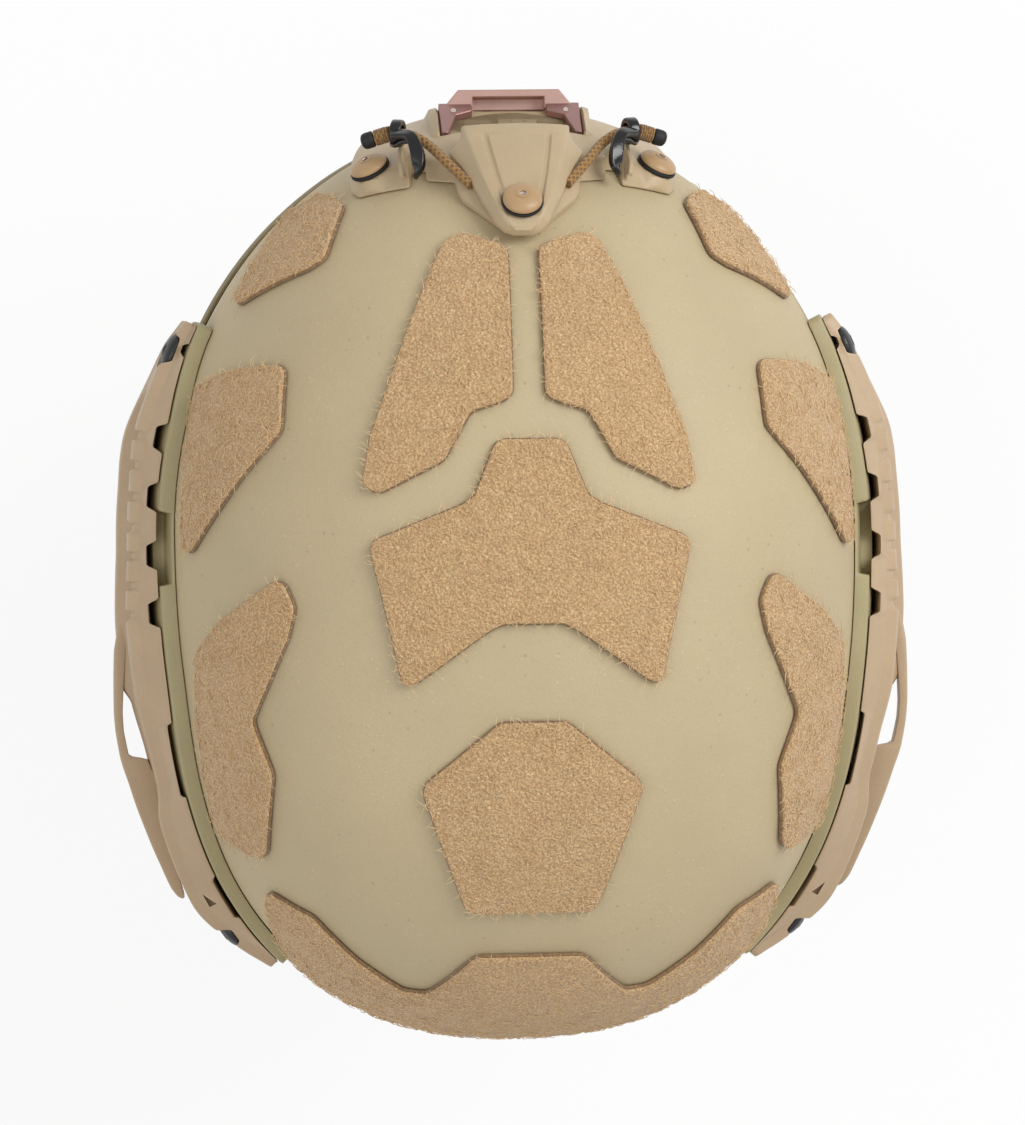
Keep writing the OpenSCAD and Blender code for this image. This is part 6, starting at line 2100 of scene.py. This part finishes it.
        front_path = list(front)
        for t in (0.25, 0.55, 0.85, 1):
            q = lerp(front[2], front_end, t)
            front_path.append(np.array([lerp(front[2][0], x, ease(t * 1.2)), q[1], q[2]]))
        rear_path = list(rear) + [lerp(run_from, rear_end, t) for t in (0, 0.3, 0.7, 1)]
        lift = self.cup_t / 2 + 0.3 + self.thick / 2 + 0.2
        cup_run = [self.cup_point(65, lift, 2), self.cup_point(56, lift, 1), self.cup_point(47, lift, 0)]
        down = [np.array([0, 0, -1.0])] * 3
        join = [np.array([x, *p]) for p in self.join]
        join_across = [np.array([0, 0.6, -0.8])] * 2
        line = [self.line_across] * 3
        front_row = (front_path, wall_across(front) + [front_across] * 5, self.sewn)
        rear_row = (rear_path, wall_across(rear) + [run_across] * 5, self.sewn)
        tongue = [self.on_line(self.mouth + s, self.tongue_lift) for s in (2, 25)]
        plans = {
            "front_left_strap": (*front_row, False), "front_right_strap": (*front_row, True),
            "rear_left_strap": (*rear_row, False), "rear_right_strap": (*rear_row, True),
            "left_lower_strap": (join + [self.on_line(4, 0), self.on_line(19.1, 0)], join_across + line[:2],
                                 [(1, 8)], False),
            "right_lower_strap": (join + [self.on_line(s, 0) for s in (4, 40, 72)] + cup_run,
                                  join_across + line + down, [(1, 8), (-16, -3)], True),
            "tongue_strap": (tongue + cup_run, line[:2] + down, [(-16, -3)], False),
        }
        threads = Shape()
        for node, (path, across, boxes, flip) in plans.items():
            shape, seams = Shape(), Shape()
            total = arc_lengths(np.array(path))[-1]
            spans = [(a if a >= 0 else total + a, b if b > 0 else total + b) for a, b in boxes]
            self.strap(shape, seams, np.array(path), np.array(across), spans)
            if flip:
                shape, seams = shape.mirror(), seams.mirror()
            shape.piece(node.replace("_strap", "_webbing"), Look.WEBBING, [node], sharp=60)
            threads.join(seams)
        threads.piece("harness_stitches", Look.THREAD, sharp=180)

    def cup(self) -> None:
        """The chin cup with bound edges and a sewn line."""
        turn = full_turn(32)
        c, s = np.cos(turn), np.sin(turn)
        rows, edges = [], ([], [])
        for a in np.linspace(-self.cup_half_turn, self.cup_half_turn, 57):
            e = ease((self.cup_half_turn - abs(a)) / 12)
            h = lerp(*self.cup_half_h, e) + self.cup_rise * math.cos(math.radians(a)) ** 2 * e
            t = self.cup_t / 2 * lerp(0.6, 1, e)
            out = t * np.sign(c) * np.abs(c) ** 0.55
            z = h * np.sign(s) * np.abs(s) ** 0.75
            rows.append(self.cup_point(a, out, z))
            edges[0].append(self.cup_point(a, 0, h * 0.985))
            edges[1].append(self.cup_point(a, 0, -h * 0.985))
        shape = Shape().grid(np.stack(rows), caps=True)
        shape.piece("chin_cup_body", Look.SUEDE, ["chin_cup"], sharp=70)
        rims, threads = Shape(), Shape()
        loop = np.vstack([np.array(edges[0]), np.array(edges[1])[::-1]])
        rims.sweep(resample(loop, 2.0, closed=True), rounded(box_outline((0, 0), 4.6, 1.8), 0.8, 3),
                   (0.0, 0.0, 1.0), ring=True)
        for share in (self.cup_seam, -self.cup_seam):
            for side in (-1, 1):
                line = np.stack([self.cup_point(a, side * self.cup_t / 2 * 0.99,
                                                share * (9 + 6 * math.cos(math.radians(a)) ** 2))
                                 for a in np.linspace(-60, 60, 60)])
                stitches(threads, line, side * unit(line - np.array(self.cup_c)), 2.2, 1.0, 0.26)
        rims.piece("chin_cup_binding", Look.PAD_EDGE, slot="cup_suede", sharp=180)
        threads.piece("chin_cup_stitches", Look.THREAD, slot="cup_suede", sharp=180)

    def build(self) -> None:
        """Makes the whole harness."""
        self.straps()
        self.cup()
        for node, name, width in self.metal:
            softened_node(node, name, Look.SCREW_BLACK, width)
        for node, name, width in self.moulded:
            softened_node(node, name, Look.DARK, width)


# Studio
@dataclass
class Studio:
    """Camera, lamps, world and floor."""

    camera_at: Triple = (0.09705, 0.0, 1.5)
    target: Triple = (-0.00132, 0.0099, 0.0)
    roll: float = -0.0151
    focal_px: float = 4785.0
    image_h: float = 1125.0
    sensor: float = 36.0
    floor_z: float = -0.20
    floor_r: float = 3.0
    floor_grey: float = 0.92
    floor_glow: float = 0.86
    ambient: float = 0.56
    lamps: Sequence = (("key", (-1.0, -0.6, 1.25), 0.9, 17), ("fill", (0.9, 0.3, 1.3), 1.4, 6))

    def camera(self) -> None:
        """The camera at the photograph's place, looking down with the brow up."""
        data = bpy.data.cameras.new("camera")
        data.sensor_fit = "VERTICAL"
        data.sensor_height = self.sensor
        data.lens = self.focal_px / self.image_h * self.sensor
        data.clip_end = 10
        obj = linked("camera", data)
        at, to = Vector(self.camera_at), Vector(self.target)
        back = (at - to).normalized()
        right = Vector((0, -1, 0)).cross(back).normalized()
        up = back.cross(right)
        c, s = math.cos(self.roll), math.sin(self.roll)
        right, up = c * right + s * up, c * up - s * right
        obj.matrix_world = Matrix([[right[k], up[k], back[k], at[k]] for k in range(3)] + [[0, 0, 0, 1]])
        bpy.context.scene.camera = obj

    def lamp(self, name: str, at: Sequence[float], size: float, power: float) -> None:
        """A square soft lamp that faces the object."""
        data = bpy.data.lights.new(name, "AREA")
        data.size = size
        data.energy = power
        obj = linked(name, data)
        obj.location = at
        obj.rotation_euler = Vector(at).to_track_quat("Z", "Y").to_euler()

    def world(self) -> None:
        """A white room, full strength where the camera looks and softer as light."""
        g = Graph(bpy.data.worlds.new("room"), "Background")
        seen = g.node("ShaderNodeLightPath", output="Is Camera Ray")
        bpy.context.scene.world = g.finish(Color=(1.0, 1.0, 1.0), Strength=seen.span(0, 1, self.ambient, 1.0))

    def floor(self) -> None:
        """A pale floor that keeps the shadow."""
        g = Graph(bpy.data.materials.new("studio_floor"))
        g.finish(Base_Color=(self.floor_grey,) * 3, Roughness=0.9)
        seen = g.node("ShaderNodeLightPath", output="Is Camera Ray")
        glow = g.node("ShaderNodeEmission", {}, [(1.0, 1.0, 1.0)])
        mixed = g.node("ShaderNodeMixShader", {},
                       [seen * self.floor_glow, Sock(g, g.shader.outputs[0]), glow])
        g.feed(g.tree.nodes["Material Output"].inputs[0], mixed)
        mesh = bpy.data.meshes.new("floor")
        corners = box_outline((0, 0), 2 * self.floor_r, 2 * self.floor_r).tolist()
        mesh.from_pydata([(x, y, self.floor_z) for x, y in corners], [], [(0, 1, 2, 3)])
        floor = linked("floor", mesh)
        mesh.materials.append(g.owner)

    def build(self) -> None:
        """Sets up the studio."""
        bpy.context.scene.view_settings.view_transform = "Standard"
        self.camera()
        self.world()
        for lamp in self.lamps:
            self.lamp(*lamp)
        self.floor()


def main() -> None:
    """Builds the scene in order."""
    logging.basicConfig(level=logging.INFO, format="%(message)s")
    for part in (Studio(), ShellAssembly(), LoopPatches(), Rails(), FrontMount(), Lanyards(), Padding(),
                 FitSystem(), Harness()):
        part.build()


if __name__ == "__main__":
    main()
